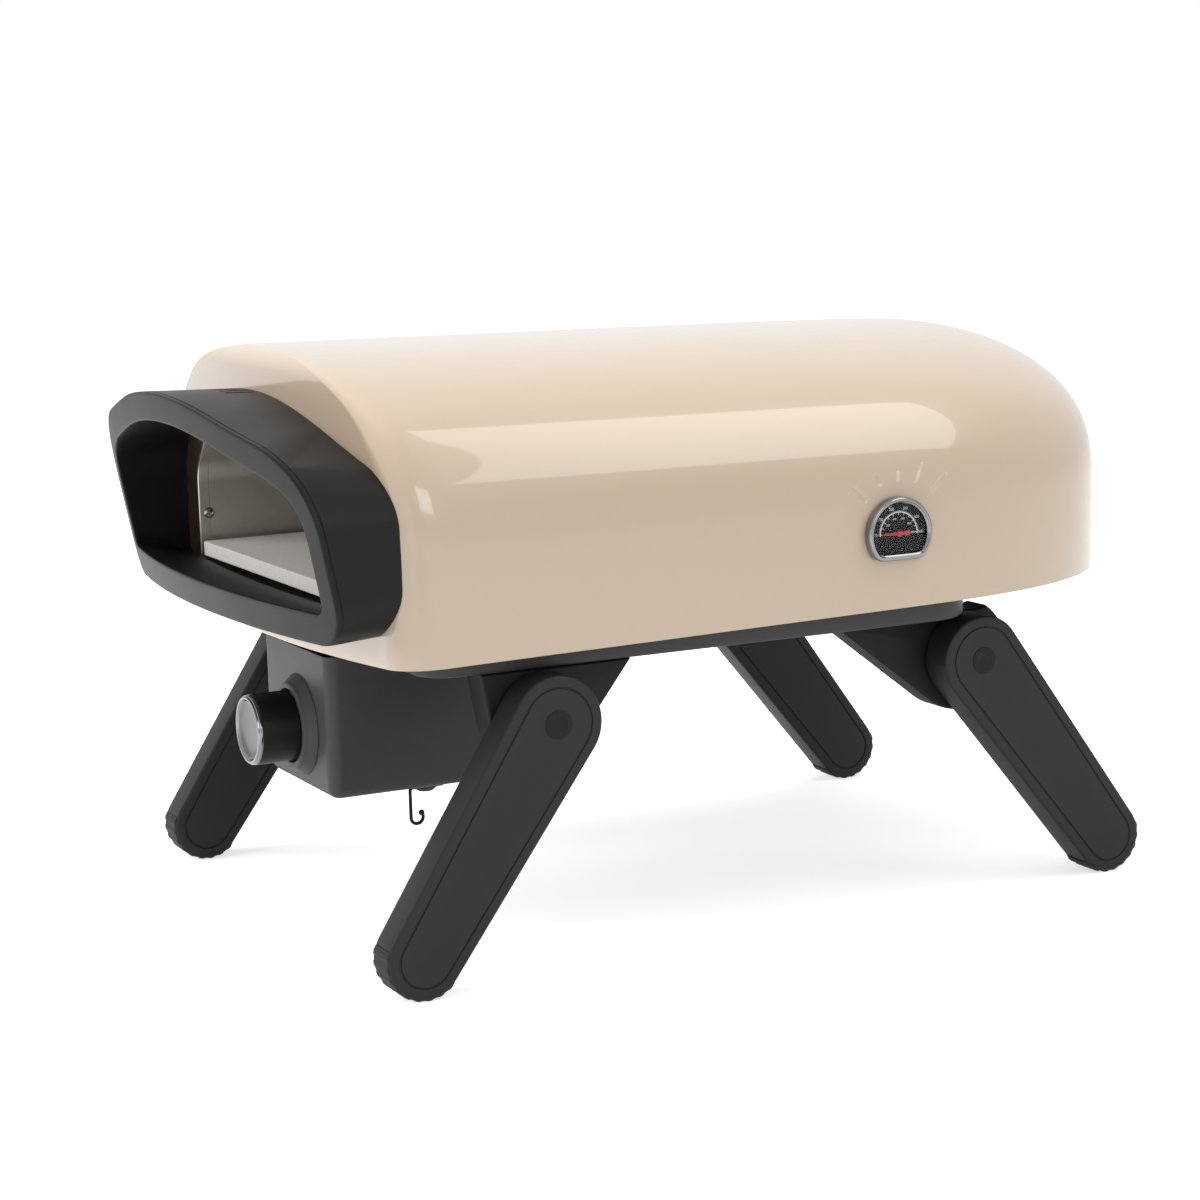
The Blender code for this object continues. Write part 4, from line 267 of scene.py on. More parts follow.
def coated(name, colour, roughness, metallic=0.0, spread=0.06, cloud=12.0, grain=900.0,
           wander=0.08, bump=0.00004, rub=0.0, rub_colour=(0.3, 0.3, 0.3), stretch=None,
           speckle=None, coat=0.0, coat_roughness=0.1, specular=0.5):
    """Tone clouds, then rubbed edges or speckle in a second colour, then grain or brushed lines."""
    material, tree, shader = new_finish(
        name, Metallic=metallic, Coat_Weight=coat, Coat_Roughness=coat_roughness,
        Specular_IOR_Level=specular)
    final = group_node(material, tone_group, Colour=(*colour, 1), Spread=spread, Size=cloud)[0]
    if stretch:
        fine = group_node(material, brush_group, Stretch=stretch, Roughness=roughness,
                          Wander=wander)
    else:
        fine = group_node(material, grain_group, Size=grain, Roughness=roughness, Wander=wander)
    mask, height = None, fine["Height"]
    if rub:
        mask = group_node(material, edge_group, Amount=rub)["Mask"]
    if speckle:
        mask, height = group_node(material, speckle_group, Size=speckle[0], Share=speckle[1])
    if mask is not None:
        mix = node(tree, "ShaderNodeMix", {"Factor": mask, 6: final, 7: (*rub_colour, 1)},
                   data_type="RGBA")
        final = mix.outputs[2]
    tree.links.new(final, shader["Base Color"])
    tree.links.new(fine["Roughness"], shader["Roughness"])
    relief = node(tree, "ShaderNodeBump", {"Distance": bump, "Height": height})
    tree.links.new(relief.outputs["Normal"], shader["Normal"])
    return material


# %% The oven's finishes
enamel = coated("cream_enamel", (0.548, 0.427, 0.312), 0.26, spread=0.02, cloud=5.0, grain=420.0,
                wander=0.04, bump=0.000006, coat=1.0, coat_roughness=0.03)
SCUFFED = {"rub": 0.20, "rub_colour": (0.05, 0.05, 0.05)}
frame_satin = coated("dark_satin", (0.009, 0.0086, 0.0082), 0.42, spread=0.10, grain=1500.0,
                     bump=0.00002, specular=0.18, **SCUFFED)
black_paint = coated("black_paint", (0.009, 0.009, 0.0095), 0.52, spread=0.12, grain=1100.0,
                     bump=0.00005, specular=0.2, **SCUFFED)
leg_plastic = coated("leg_plastic", (0.016, 0.016, 0.0165), 0.50, spread=0.10, grain=1600.0,
                     bump=0.00006, specular=0.28, **SCUFFED)
grey_paint = coated("grey_paint", (0.048, 0.0475, 0.048), 0.46, spread=0.08, grain=1300.0,
                    bump=0.00005, rub=0.20, rub_colour=(0.12, 0.12, 0.12), specular=0.3)
steel = coated("brushed_steel", (0.68, 0.64, 0.60), 0.36, metallic=1.0, spread=0.14, cloud=18.0,
               stretch=(1400.0, 12.0, 1400.0), wander=0.25, bump=0.00002)
dark_steel = coated("dark_steel", (0.060, 0.056, 0.053), 0.48, metallic=0.7, spread=0.20,
                    stretch=(1200.0, 14.0, 1200.0), wander=0.22, bump=0.00002)
rubber = coated("foot_rubber", (0.016, 0.016, 0.016), 0.72, spread=0.15, grain=1000.0,
                bump=0.00008)
wool = coated("insulation_wool", (0.74, 0.72, 0.68), 0.95, spread=0.25, grain=500.0,
              bump=0.0006)
chrome = coated("chrome", (0.27, 0.27, 0.275), 0.14, metallic=1.0, spread=0.02, grain=600.0,
                wander=0.04, bump=0.000002)
SATIN = {"metallic": 1.0, "spread": 0.05, "grain": 1500.0, "bump": 0.000008}
satin_metal = coated("satin_metal", (0.46, 0.46, 0.47), 0.30, **SATIN)
knob_satin = coated("knob_satin", (0.15, 0.15, 0.155), 0.36, **SATIN)
brass = coated("brass", (0.66, 0.47, 0.20), 0.28, metallic=1.0, spread=0.10, grain=900.0,
               wander=0.12, bump=0.00001)
dial_black = coated("dial_black", (0.006, 0.006, 0.0065), 0.42, spread=0.10, grain=1500.0,
                    bump=0.00001, specular=0.12)
dial_white = coated("dial_white", (0.46, 0.46, 0.46), 0.45, spread=0.03, bump=0.000004)
needle_red = coated("needle_red", (0.36, 0.012, 0.022), 0.34, spread=0.05, bump=0.000006)
ceramic = coated("ceramic_white", (0.84, 0.82, 0.78), 0.24, spread=0.05, grain=400.0,
                 bump=0.00002, coat=0.3)
lead_sleeve = coated("lead_sleeve", (0.50, 0.10, 0.07), 0.55, spread=0.12, bump=0.00003)
print("finishes", len(bpy.data.materials))

# %% [markdown]
# ### Stone and glass
# The baking stone is pale cordierite: off-white, dull, with fine grey grains and a gritty skin.
# The speckle mask picks single grains, and its height gives the grit. The thermometer's lens is
# clear glass with plain constants, and only its roughness wanders, as on a wiped lens.

# %% Stone and glass finishes
stone_white = coated("baking_stone", (0.78, 0.75, 0.71), 0.86, cloud=26.0, grain=380.0,
                     wander=0.12, bump=0.00012, rub_colour=(0.66, 0.62, 0.57),
                     speckle=(900.0, 0.05))
glass, tree, shader = new_finish("clear_glass", Base_Color=(1, 1, 1, 1), Transmission_Weight=1.0,
                                 IOR=1.15)
smear = group_node(glass, grain_group, Size=200.0, Roughness=0.02, Wander=0.02)
tree.links.new(smear["Roughness"], shader["Roughness"])
print("stone and glass ready")

# %% [markdown]
# ## Surfaces from arrays
# Each new piece is a grid of points: rings of the same number of points, stacked in rows. The
# grid is worked out as whole arrays, and four neighbouring points make a face. A closed body
# either wraps round in its rows too, or gets a cap at each end. The signed volume tells
# whether the faces point outwards, because it is negative for a body that is inside out.


# %% Grid helpers
def grid_faces(rows, columns, wrap_rows):
    """Each face joins (row, column), (row, next), (next row, next) and (next row, column)."""
    row = np.arange(rows if wrap_rows else rows - 1)
    row, column = np.meshgrid(row, np.arange(columns), indexing="ij")
    next_row, next_column = (row + 1) % rows, (column + 1) % columns
    corners = [row * columns + column, row * columns + next_column,
               next_row * columns + next_column, next_row * columns + column]
    return np.stack(corners, -1).reshape(-1, 4)


def fan_faces(start, columns, middle):
    """Triangles from a ring of points to one middle point."""
    here = start + np.arange(columns)
    after = start + (np.arange(columns) + 1) % columns
    return np.stack([here, after, np.full(columns, middle)], -1)


def zip_faces(start, columns):
    """Quads across a ring that is the same on both sides: point k joins point columns - k."""
    near = np.arange(1, columns // 2)
    far = columns - near
    inner = np.stack([near[:-1], near[1:], far[1:], far[:-1]], -1)
    ends = np.array([[0, 1, columns - 1], [columns // 2 - 1, columns // 2, columns // 2 + 1]])
    return start + inner, start + ends


def signed_volume(points, faces):
    """Sum of the volumes between the origin and each triangle, plus or minus by its turn."""
    total = 0.0
    for face_set in faces:
        for k in range(1, face_set.shape[1] - 1):
            a, b, c = (points[face_set[:, i]] for i in (0, k, k + 1))
            total += np.einsum("ij,ij->i", a, np.cross(b, c)).sum()
    return total


def evaluated_mesh(thing):
    """A new mesh of an object as it looks with its modifiers or its text worked out."""
    graph = bpy.context.evaluated_depsgraph_get()
    return bpy.data.meshes.new_from_object(thing.evaluated_get(graph))


def body_mesh(name, points, faces, sharp=32.0):
    """A closed mesh from points and face arrays, turned outwards, shifted to the floor's middle."""
    points = np.asarray(points, float).reshape(-1, 3).copy()
    if signed_volume(points, faces) < 0:
        faces = [face_set[:, ::-1] for face_set in faces]
    points[:, 1] += SHIFT_Y
    mesh = bpy.data.meshes.new(name)
    mesh.from_pydata(points.tolist(), [], [f for face_set in faces for f in face_set.tolist()])
    work = bmesh.new()
    work.from_mesh(mesh)
    bmesh.ops.remove_doubles(work, verts=work.verts, dist=0.000002)
    work.to_mesh(mesh)
    work.free()
    mesh.validate()
    mesh.polygons.foreach_set("use_smooth", np.ones(len(mesh.polygons), bool))
    mesh.set_sharp_from_angle(angle=np.radians(sharp))
    return new_object(name, mesh)


def skin(name, rings, wrap_rows=False, zipped=False, sharp=32.0):
    """Rings of points, an array of (rows, columns, 3), joined into one closed body."""
    rings = np.asarray(rings, float)
    rows, columns = rings.shape[:2]
    points = rings.reshape(-1, 3)
    faces = [grid_faces(rows, columns, wrap_rows)]
    last = (rows - 1) * columns
    if zipped:
        faces += [face_set[:, ::-1] for face_set in zip_faces(0, columns)]
        faces += zip_faces(last, columns)
    elif not wrap_rows:
        middle = len(points)
        points = np.concatenate([points, rings[:1].mean(1), rings[-1:].mean(1)])
        faces += [fan_faces(0, columns, middle)[:, ::-1], fan_faces(last, columns, middle + 1)]
    return body_mesh(name, points, faces, sharp)


def dress(thing, material, body, slot, *nodes):
    """Gives a piece its finish and the body that it rides on, and hides the nodes it stands for. The
    slot is not used.
    """
    thing.data.materials.clear()
    thing.data.materials.append(material)
    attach(thing, body)
    if nodes:
        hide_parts(*nodes)
    print(thing.name, "faces:", len(thing.data.polygons))


# %% [markdown]
# ## Profiles and rounded edges
# Sharp corners look false on a render, so each corner of a profile is cut back a little and
# joined with a short curve. Turned parts, such as a knob, are one profile carried round an axis.
# Boxes and bars are outlines that shrink over their last rings, which rounds their edges.


# %% Profile helpers
def soft_corners(corners, cut, steps=4, closed=False):
    """Corners cut back by a length and joined by (1-t)^2 a + 2t(1-t) b + t^2 c."""
    corners = np.asarray(corners, float)
    count = len(corners)
    cut = np.broadcast_to(cut, (count,))
    t = np.linspace(0, 1, steps + 1)[:, None]
    pieces = []
    for k in range(count):
        if not closed and k in (0, count - 1) or cut[k] == 0:
            pieces.append(corners[k:k + 1])
            continue
        here = corners[k]
        back, ahead = corners[k - 1] - here, corners[(k + 1) % count] - here
        a = here + back * min(cut[k] / np.linalg.norm(back), 0.49)
        c = here + ahead * min(cut[k] / np.linalg.norm(ahead), 0.49)
        pieces.append((1 - t) ** 2 * a + 2 * t * (1 - t) * here + t ** 2 * c)
    return np.concatenate(pieces)


AXES = {"X": (0, 1, 2), "Y": (1, 2, 0)}


def turned_rings(axis, centre, profile, steps=96):
    """Points at centre + height along the axis + radius * (cos, sin) across it."""
    profile = np.asarray(profile, float)
    angle = np.linspace(0, 2 * np.pi, steps, endpoint=False)
    lengthwise, across, above = AXES[axis]
    rings = np.empty((len(profile), steps, 3))
    rings[..., lengthwise] = profile[:, :1]
    rings[..., across] = profile[:, 1:] * np.cos(angle)
    rings[..., above] = profile[:, 1:] * np.sin(angle)
    return rings + np.asarray(centre, float)


def turned(name, axis, centre, corners, cut=0, steps=96, closed=False, sharp=40.0):
    """A turned body: a closed profile makes a ring, an open one is capped at both ends."""
    profile = soft_corners(corners, cut, closed=closed)
    return skin(name, turned_rings(axis, centre, profile, steps), wrap_rows=closed, sharp=sharp)


def edge_round(radius, steps):
    """Pairs of inset and rise along a rounded edge: radius * (1 - sin a), radius * (1 - cos a)."""
    a = np.radians(np.linspace(0, 90, steps))
    return np.stack([radius * (1 - np.sin(a)), radius * (1 - np.cos(a))], -1)


def rectangle(low, high, corner, inset, z, steps, least):
    """A rounded rectangle at a height: a quarter circle round the middle of each corner."""
    arc = max(corner - inset, corner * least)
    x0, y0 = np.asarray(low) + inset + arc
    x1, y1 = np.asarray(high) - inset - arc
    angle = np.linspace(0, np.pi / 2, steps)
    middles = ((x1, y0, -np.pi / 2), (x1, y1, 0), (x0, y1, np.pi / 2), (x0, y0, np.pi))
    return np.concatenate([
        np.stack([x + arc * np.cos(angle + a), y + arc * np.sin(angle + a),
                  np.full(steps, z)], -1) for x, y, a in middles])


def upright(x, loop):
    """A loop of complex numbers, y + iz, stood up in the plane of one x."""
    return np.stack([np.full(len(loop), x), loop.real, loop.imag], -1)


def drawn_in(loop, inset, middle):
    """Points of a loop of complex numbers moved towards a middle by an inset."""
    return middle + (loop - middle) * (1 - inset / np.abs(loop - middle))


# %% [markdown]
# ## The hood
# The hood is one pressed steel shell under enamel. Seen from above it has a bowed front, tight
# front corners and a long full rear. In section its shoulder is a superellipse, fuller than a
# circle. So a ring of points is worked out for each height, with more rings and columns where
# the five pressed strokes fan out over the thermometer, and the strokes push the wall inwards.

# %% Hood sizes
HOOD_HALF, HOOD_LENGTH, HOOD_FRONT = 0.224, 0.606, -0.2438
HOOD_REAR = HOOD_FRONT + HOOD_LENGTH
HOOD_BOTTOM, HOOD_TOP = 0.211, 0.404
SHOULDER_Z, SHOULDER_POWER = 0.285, 2.5
FRONT_BOW, FRONT_CORNER = 0.016, 0.030
EDGE_DIP, EDGE_RISE = 0.004, 0.010
REAR_RUN, REAR_POWER = 0.236, 2.70
REAR_FALL, REAR_FALL_POWER = 0.136, 2.6
TOP_SLOPE, TOP_FILLET, FILLET_REACH = 0.009, 0.016, 0.048
DIAL_Y, DIAL_Z = 0.1140, 0.2689


def shoulder_share(z):
    """How far up the shoulder a height is, from 0 to 1."""
    return np.clip((z - SHOULDER_Z) / (HOOD_TOP - SHOULDER_Z), 0, 1)


def hood_half(z):
    """Half width at a height: HOOD_HALF * (1 - share^p)^(1/p)."""
    return HOOD_HALF * (1 - shoulder_share(z) ** SHOULDER_POWER) ** (1 / SHOULDER_POWER)


def front_radius(z):
    """Plan radius of the front corners, smaller towards the top."""
    radius = FRONT_CORNER + (TOP_FILLET - FRONT_CORNER) * shoulder_share(z)
    return np.minimum(radius, hood_half(z) / 2)


def bow(x, depth):
    """How far a bowed wall stands ahead of its corners."""
    return depth * (1 - (x / HOOD_HALF) ** 2)


def fillet_lift(z):
    """How far the top's rounded front edge has gone back at a height."""
    rise = np.clip(z - (HOOD_TOP - TOP_FILLET), 0, TOP_FILLET)
    return TOP_FILLET - np.sqrt(TOP_FILLET ** 2 - rise ** 2)


def hood_front_wall(x, z):
    """The y of the hood's front surface, corners included."""
    corner = front_radius(z)
    flat = hood_half(z) - corner
    past = np.clip(np.abs(x) - flat, 0, corner)
    straight = HOOD_FRONT - bow(np.minimum(np.abs(x), flat), FRONT_BOW) + fillet_lift(z)
    return straight + corner - np.sqrt(corner ** 2 - past ** 2)


# %% Columns round the hood
SIDE_END = HOOD_REAR - REAR_RUN
RAY_LOW_Y, RAY_HIGH_Y, RAY_STEP = 0.068, 0.162, 0.0009
REAR_SIDE_SHARE = 0.77


def side_columns():
    """Shares along the straight side, close together where the strokes are."""
    start = HOOD_FRONT - bow(HOOD_HALF - FRONT_CORNER, FRONT_BOW) + FRONT_CORNER
    dense = (RAY_LOW_Y - start) / (SIDE_END - start)
    count = int((SIDE_END - RAY_LOW_Y) / RAY_STEP)
    return np.concatenate([np.linspace(0, dense, 24, endpoint=False),
                           np.linspace(dense, 1, count, endpoint=False)])


def rear_columns():
    """Angles round the rear: even steps along y at first, and across x at the end."""
    reach = np.concatenate([np.arange(0, RAY_HIGH_Y - SIDE_END, RAY_STEP),
                            np.arange(RAY_HIGH_Y - SIDE_END, REAR_RUN * REAR_SIDE_SHARE, 0.004)])
    first = np.arcsin((reach / REAR_RUN) ** (REAR_POWER / 2))
    second = np.arccos(np.linspace(REAR_SIDE_SHARE, 0, 44) ** (REAR_POWER / 2))
    return np.concatenate([first, second[second > first[-1] + 0.004]])


def plan_half(half, front_y, depth, corner, rear_y, run):
    """Right half of a plan ring for arrays of sizes: front, corner arc, side, rear superellipse."""
    half, corner, rear_y = (np.atleast_1d(v)[:, None] for v in (half, corner, rear_y))
    flat = half - corner
    x1 = flat * np.linspace(0, 1, 26, endpoint=False)
    angle = np.radians(np.linspace(-90, 0, 12, endpoint=False))
    start, end = front_y - bow(flat, depth) + corner, rear_y - run
    y3 = start + (end - start) * side_columns()
    around = rear_columns()
    x4 = half * np.cos(around) ** (2 / REAR_POWER)
    y4 = end + run * np.sin(around) ** (2 / REAR_POWER)
    x4[:, -1] = 0
    return (np.concatenate([x1, flat + corner * np.cos(angle), half + y3 * 0, x4], 1),
            np.concatenate([front_y - bow(x1, depth), start + corner * np.sin(angle), y3, y4], 1))


def mirrored(right):
    """A whole ring from its right half, without doubling the points in the middle plane."""
    return np.concatenate([right, right[:, -2:0:-1] * (-1, 1, 1)], 1)


def hood_rings(z, inset):
    """Rings of the hood at heights z, moved inwards by inset, right half and mirror image."""
    z = np.asarray(z, float)
    inset = np.broadcast_to(inset, z.shape)
    share = shoulder_share(z)
    half, corner = hood_half(z) - inset, front_radius(z)
    fall = REAR_FALL * (1 - (1 - share ** REAR_FALL_POWER) ** (1 / REAR_FALL_POWER))
    x, y = plan_half(half, HOOD_FRONT, FRONT_BOW, corner, HOOD_REAR - inset - fall, REAR_RUN)
    base = (HOOD_FRONT - bow(half - corner, FRONT_BOW))[:, None]
    push = np.clip(1 - (y - base) / FILLET_REACH, 0, 1)
    y = y + (inset + fillet_lift(z))[:, None] * push
    back = np.clip((y - HOOD_FRONT) / HOOD_LENGTH, 0, None)
    below = np.clip((SHOULDER_Z - z) / (SHOULDER_Z - HOOD_BOTTOM), 0, None)
    height = z[:, None] + back * (EDGE_RISE * below - TOP_SLOPE * share)[:, None]
    ahead = (y < HOOD_FRONT + FRONT_CORNER) * np.clip(1 - (x / HOOD_HALF) ** 2, 0, 1)
    hang = np.clip(1 - (z - HOOD_BOTTOM) / (SHOULDER_Z - HOOD_BOTTOM) * 2, 0, 1)
    return mirrored(np.stack([x, y, height - EDGE_DIP * ahead * hang[:, None]], -1))


# %% [markdown]
# ### The pressed strokes
# Five short strokes fan out over the thermometer, like rays. Each is a groove with round ends.
# The distance from a point to a stroke's middle line gives its depth, as a smooth bell.

# %% Pressed strokes
RAYS = ((135.0, 0.0337, 0.0470), (110.0, 0.0362, 0.0422), (87.0, 0.0362, 0.0422),
        (65.0, 0.0382, 0.0505), (42.5, 0.0392, 0.0552))
RAY_HALF_WIDTH, RAY_DEPTH = 0.0020, 0.0010


def press_strokes(rings):
    """Moves the right wall inwards by depth * (1 - (distance / width)^2)^2 near each stroke."""
    y, z = rings[..., 1] - DIAL_Y, rings[..., 2] - DIAL_Z
    depth = np.zeros(y.shape)
    for angle, start, end in RAYS:
        cos, sin = np.cos(np.radians(angle)), np.sin(np.radians(angle))
        run = np.clip(y * cos + z * sin, start, end)
        away = np.hypot(y - run * cos, z - run * sin) / RAY_HALF_WIDTH
        depth += RAY_DEPTH * np.clip(1 - away ** 2, 0, None) ** 2
    rings[..., 0] -= depth * (rings[..., 0] > 0)
    return rings


# %% Hood surface
WALL_LEVELS = (0.2118, 0.2135, 0.218, 0.228, 0.240, 0.252, 0.264, 0.275)
RAY_LOW_Z, RAY_HIGH_Z, RAY_ROW_STEP = 0.288, 0.322, 0.0008
CROWN_END, CROWN_ROWS, INSIDE_START, INSIDE_STRIDE = 88.8, 50, 50, 8


def hood_levels():
    """Heights: a few on the wall, many at the strokes, then even angles up the shoulder."""
    dense = np.arange(RAY_LOW_Z, RAY_HIGH_Z, RAY_ROW_STEP)
    first = np.arcsin(shoulder_share(dense[-1]) ** (SHOULDER_POWER / 2))
    angle = np.linspace(first, np.radians(CROWN_END), CROWN_ROWS)[1:]
    crown = SHOULDER_Z + (HOOD_TOP - SHOULDER_Z) * np.sin(angle) ** (2 / SHOULDER_POWER)
    return np.concatenate([WALL_LEVELS, dense, crown])


levels = hood_levels()
outer = press_strokes(hood_rings(levels, 0.0))
lip_angle = np.radians(np.linspace(10, 170, 7))
lip = hood_rings(HOOD_BOTTOM + SHEET / 2 * (1 - np.sin(lip_angle)),
                 SHEET / 2 * (1 - np.cos(lip_angle)))
inside_levels = np.concatenate([[WALL_LEVELS[0], 0.24, SHOULDER_Z],
                                levels[INSIDE_START::INSIDE_STRIDE], levels[-1:]])
inner = hood_rings(inside_levels, SHEET)
inner[..., 2] -= (SHEET * shoulder_share(inside_levels))[:, None]
hood = skin("hood_shell", np.concatenate([outer[::-1], lip, inner]), zipped=True, sharp=60.0)
print("hood points", outer.shape)

# %% [markdown]
# ## The mouth frame's outline
# The frame is a dark satin ring, bowed like the hood's front and leaning forward at the top. Its
# outline has seven corners, each rounded by an arc. Complex numbers make this short: a corner,
# its two neighbours and a turn about the arc's centre are one line of arithmetic each.

# %% Frame outlines
FRAME_BOW, FRAME_FRONT_Y, FRAME_LEAN = 0.0242, -0.2773, 10.6
FRAME_BOTTOM, FRAME_TOP, FRAME_EDGE = 0.2272, 0.3864, 0.0015
FRAME_MIDDLE = 1j * (FRAME_BOTTOM + FRAME_TOP) / 2
ARC_STEPS = (14, 16, 16, 300, 16, 16, 14)
STRAIGHT_STEPS = (10, 4, 10, 10, 4, 10, 60)


def rounded_loop(corners, radii):
    """Arc at each corner: centre + start * exp(i * turn * t), then the straight to the next."""
    corners = np.asarray([complex(x, z) for x, z in corners])
    before, after = np.roll(corners, 1) - corners, np.roll(corners, -1) - corners
    before, after = before / np.abs(before), after / np.abs(after)
    angle = np.arccos(np.real(before * np.conj(after)))
    middle = corners + (before + after) / np.abs(before + after) * radii / np.sin(angle / 2)
    first = corners + before * radii / np.tan(angle / 2) - middle
    last = corners + after * radii / np.tan(angle / 2) - middle
    turns = np.angle(last / first)
    arcs = [middle[k] + first[k] * np.exp(1j * turns[k] * np.linspace(0, 1, ARC_STEPS[k] + 1))
            for k in range(len(corners))]
    loop = []
    for k, arc in enumerate(arcs):
        t = np.linspace(0, 1, STRAIGHT_STEPS[k] + 1)[1:-1]
        loop += [arc, arc[-1] + (arcs[(k + 1) % len(arcs)][0] - arc[-1]) * t]
    return np.concatenate(loop)


def frame_loop(half, bottom, top, side_top, shoulder, shoulder_top, radii):
    """Outline with a bottom corner, a side corner and a shoulder on each side, and a crown."""
    right = [(half, bottom), (half, side_top), (shoulder, shoulder_top)]
    left = [(-x, z) for x, z in reversed(right)]
    return rounded_loop(right + [(0, top)] + left, np.array(radii + radii[2::-1]))


front_loop = frame_loop(0.2115, FRAME_BOTTOM, FRAME_TOP, 0.3264, 0.1700, 0.3504,
                        (0.028, 0.052, 0.107, 0.42))
rear_loop = frame_loop(0.2133, 0.2290, 0.3868, 0.3288, 0.1160, 0.3581,
                       (0.0334, 0.040, 0.242, 0.39))
mouth_loop = frame_loop(0.1945, 0.2481, 0.3674, 0.3169, 0.1615, 0.3314,
                        (0.0083, 0.033, 0.140, 0.42))
throat_loop = frame_loop(0.1985, 0.2401, 0.3714, 0.3189, 0.1635, 0.3354,
                         (0.0083, 0.033, 0.140, 0.42))
print("outline points", len(front_loop), "mouth height", round(np.ptp(mouth_loop.imag), 4))


# %% Frame surfaces
def on_front(loop, inset, back):
    """A loop laid on the bowed, leaning front, then moved back."""
    loop = drawn_in(loop, inset, FRAME_MIDDLE)
    y = FRAME_FRONT_Y - (loop.imag - FRAME_BOTTOM) * np.tan(np.radians(FRAME_LEAN))
    return np.stack([loop.real, y - bow(loop.real, FRAME_BOW) + back, loop.imag], -1)


def on_hood(loop, inset, back=-GAP):
    """A loop laid on the hood's front wall, then moved back."""
    loop = drawn_in(loop, inset, FRAME_MIDDLE)
    wall = hood_front_wall(loop.real, loop.imag) + back
    return np.stack([loop.real, wall, loop.imag], -1)


def between(first, second, shares):
    """Rows between two loops of points, at given shares."""
    shares = np.asarray(shares, float)[:, None, None]
    return first * (1 - shares) + second * shares


# %% [markdown]
# ### Vent slots
# Four short slots let the mouth's top edge breathe. They are pressed into the grid as the
# strokes are: a point closer to a slot's middle line than its half width goes down.

# %% Mouth frame
SLOT_XS = (np.arange(4) - 1.5) * 0.012
SLOT_MIDDLE_Y = HOOD_FRONT - FRONT_BOW - 0.014
SLOT_HALF, SLOT_RUN, SLOT_DEPTH, SLOT_WALL = 0.00175, 0.00825, 0.0040, 0.0005


def press_slots(rows):
    """Lowers the band's top inside each slot, with walls half a millimetre wide."""
    deep = np.zeros(rows.shape[:2])
    for x in SLOT_XS:
        along = np.clip(np.abs(rows[..., 1] - SLOT_MIDDLE_Y) - SLOT_RUN, 0, None)
        away = np.hypot(rows[..., 0] - x, along)
        deep = np.maximum(deep, np.clip((SLOT_HALF - away) / SLOT_WALL + 0.5, 0, 1))
    rows[..., 2] -= SLOT_DEPTH * deep * (rows[..., 2] > FRAME_MIDDLE.imag)
    return rows


GROOVE = ((0.0, 0.0047), (0.0007, 0.0042), (0.0007, 0.0033), (0.0, 0.0028))
SLEEVE, SLEEVE_WALL = 0.0035, 0.0010
rear_edge = on_hood(rear_loop, 0)
band_shares = np.concatenate([np.linspace(0, 0.04, 3)[:-1], np.linspace(0.04, 0.40, 56),
                              np.linspace(0.42, 1.0, 14)])
band = press_slots(between(rear_edge, on_front(front_loop, 0, GROOVE[0][1]), band_shares))
groove = [on_front(front_loop, inset, back) for inset, back in GROOVE[1:]]
outer_round = [on_front(front_loop, inset, back) for back, inset in edge_round(FRAME_EDGE, 6)]
face = between(outer_round[-1], on_front(mouth_loop, -FRAME_EDGE, 0), np.linspace(0, 1, 9)[1:])
inner_round = [on_front(mouth_loop, -inset, back) for inset, back in edge_round(FRAME_EDGE, 6)[1:]]
tunnel = between(inner_round[-1], on_hood(throat_loop, 0), np.linspace(0, 1, 15)[1:])
sleeve = [on_hood(throat_loop, 0, SLEEVE), on_hood(throat_loop, -SLEEVE_WALL, SLEEVE),
          on_hood(throat_loop, -SLEEVE_WALL)]
back = between(sleeve[-1], rear_edge, np.linspace(0, 1, 6)[1:-1])
mouth_frame = skin("mouth_frame_ring", np.concatenate([band, groove, outer_round, face,
                                                       inner_round, tunnel, sleeve, back]),
                   wrap_rows=True, sharp=40.0)
dress(mouth_frame, frame_satin, "oven", "dark_satin", "mouth_frame")

# %% [markdown]
# ### Cutting the mouth into the hood
# The hood's front wall has to open behind the frame. A Boolean modifier with an exact solver cuts
# it cleanly. Its cutter is the throat's outline, pushed through the wall, and it is deleted after.


# %% Cut the mouth
def cut_away(thing, cutter):
    """Takes the cutter's volume from a piece, applies the result and removes the cutter."""
    change = thing.modifiers.new("cut", "BOOLEAN")
    change.operation, change.solver, change.object = "DIFFERENCE", "EXACT", cutter
    mesh = evaluated_mesh(thing)
    thing.modifiers.clear()
    thing.data = mesh
    bpy.data.objects.remove(cutter, do_unlink=True)


opening = drawn_in(throat_loop, -SHEET, FRAME_MIDDLE)[::5]
cutter = skin("mouth_cutter", [np.stack([opening.real, np.full(len(opening), y), opening.imag], -1)
                               for y in (HOOD_FRONT - 0.05, HOOD_FRONT + 0.03)])
cut_away(hood, cutter)
hood.data.set_sharp_from_angle(angle=np.radians(50))
dress(hood, enamel, "oven", "cream_enamel", "hood")

# %% [markdown]
# ## The base tray
# A folded steel tray closes the oven from below. Its wall is the grey band under the hood's
# edge. The bottom edge is bent with a small radius, and the flange reaches out under the hood.

# %% Base tray
TRAY_HALF, TRAY_FRONT, TRAY_REAR = 0.200, -0.222, 0.220
TRAY_BOTTOM, TRAY_TOP = 0.2000, 0.2300
TRAY_CORNER, TRAY_RUN, TRAY_BEND = 0.024, 0.060, 0.003
PANEL_INSET, PANEL_RISE = 0.060, 0.0015


def tray_plan(inset, z):
    """One ring of the tray, drawn in by an inset, at a height."""
    x, y = plan_half(TRAY_HALF - inset, TRAY_FRONT + inset, 0.0, TRAY_CORNER - inset,
                     TRAY_REAR - inset, TRAY_RUN)
    return mirrored(np.stack([x, y, np.full(x.shape, z)], -1))[0]


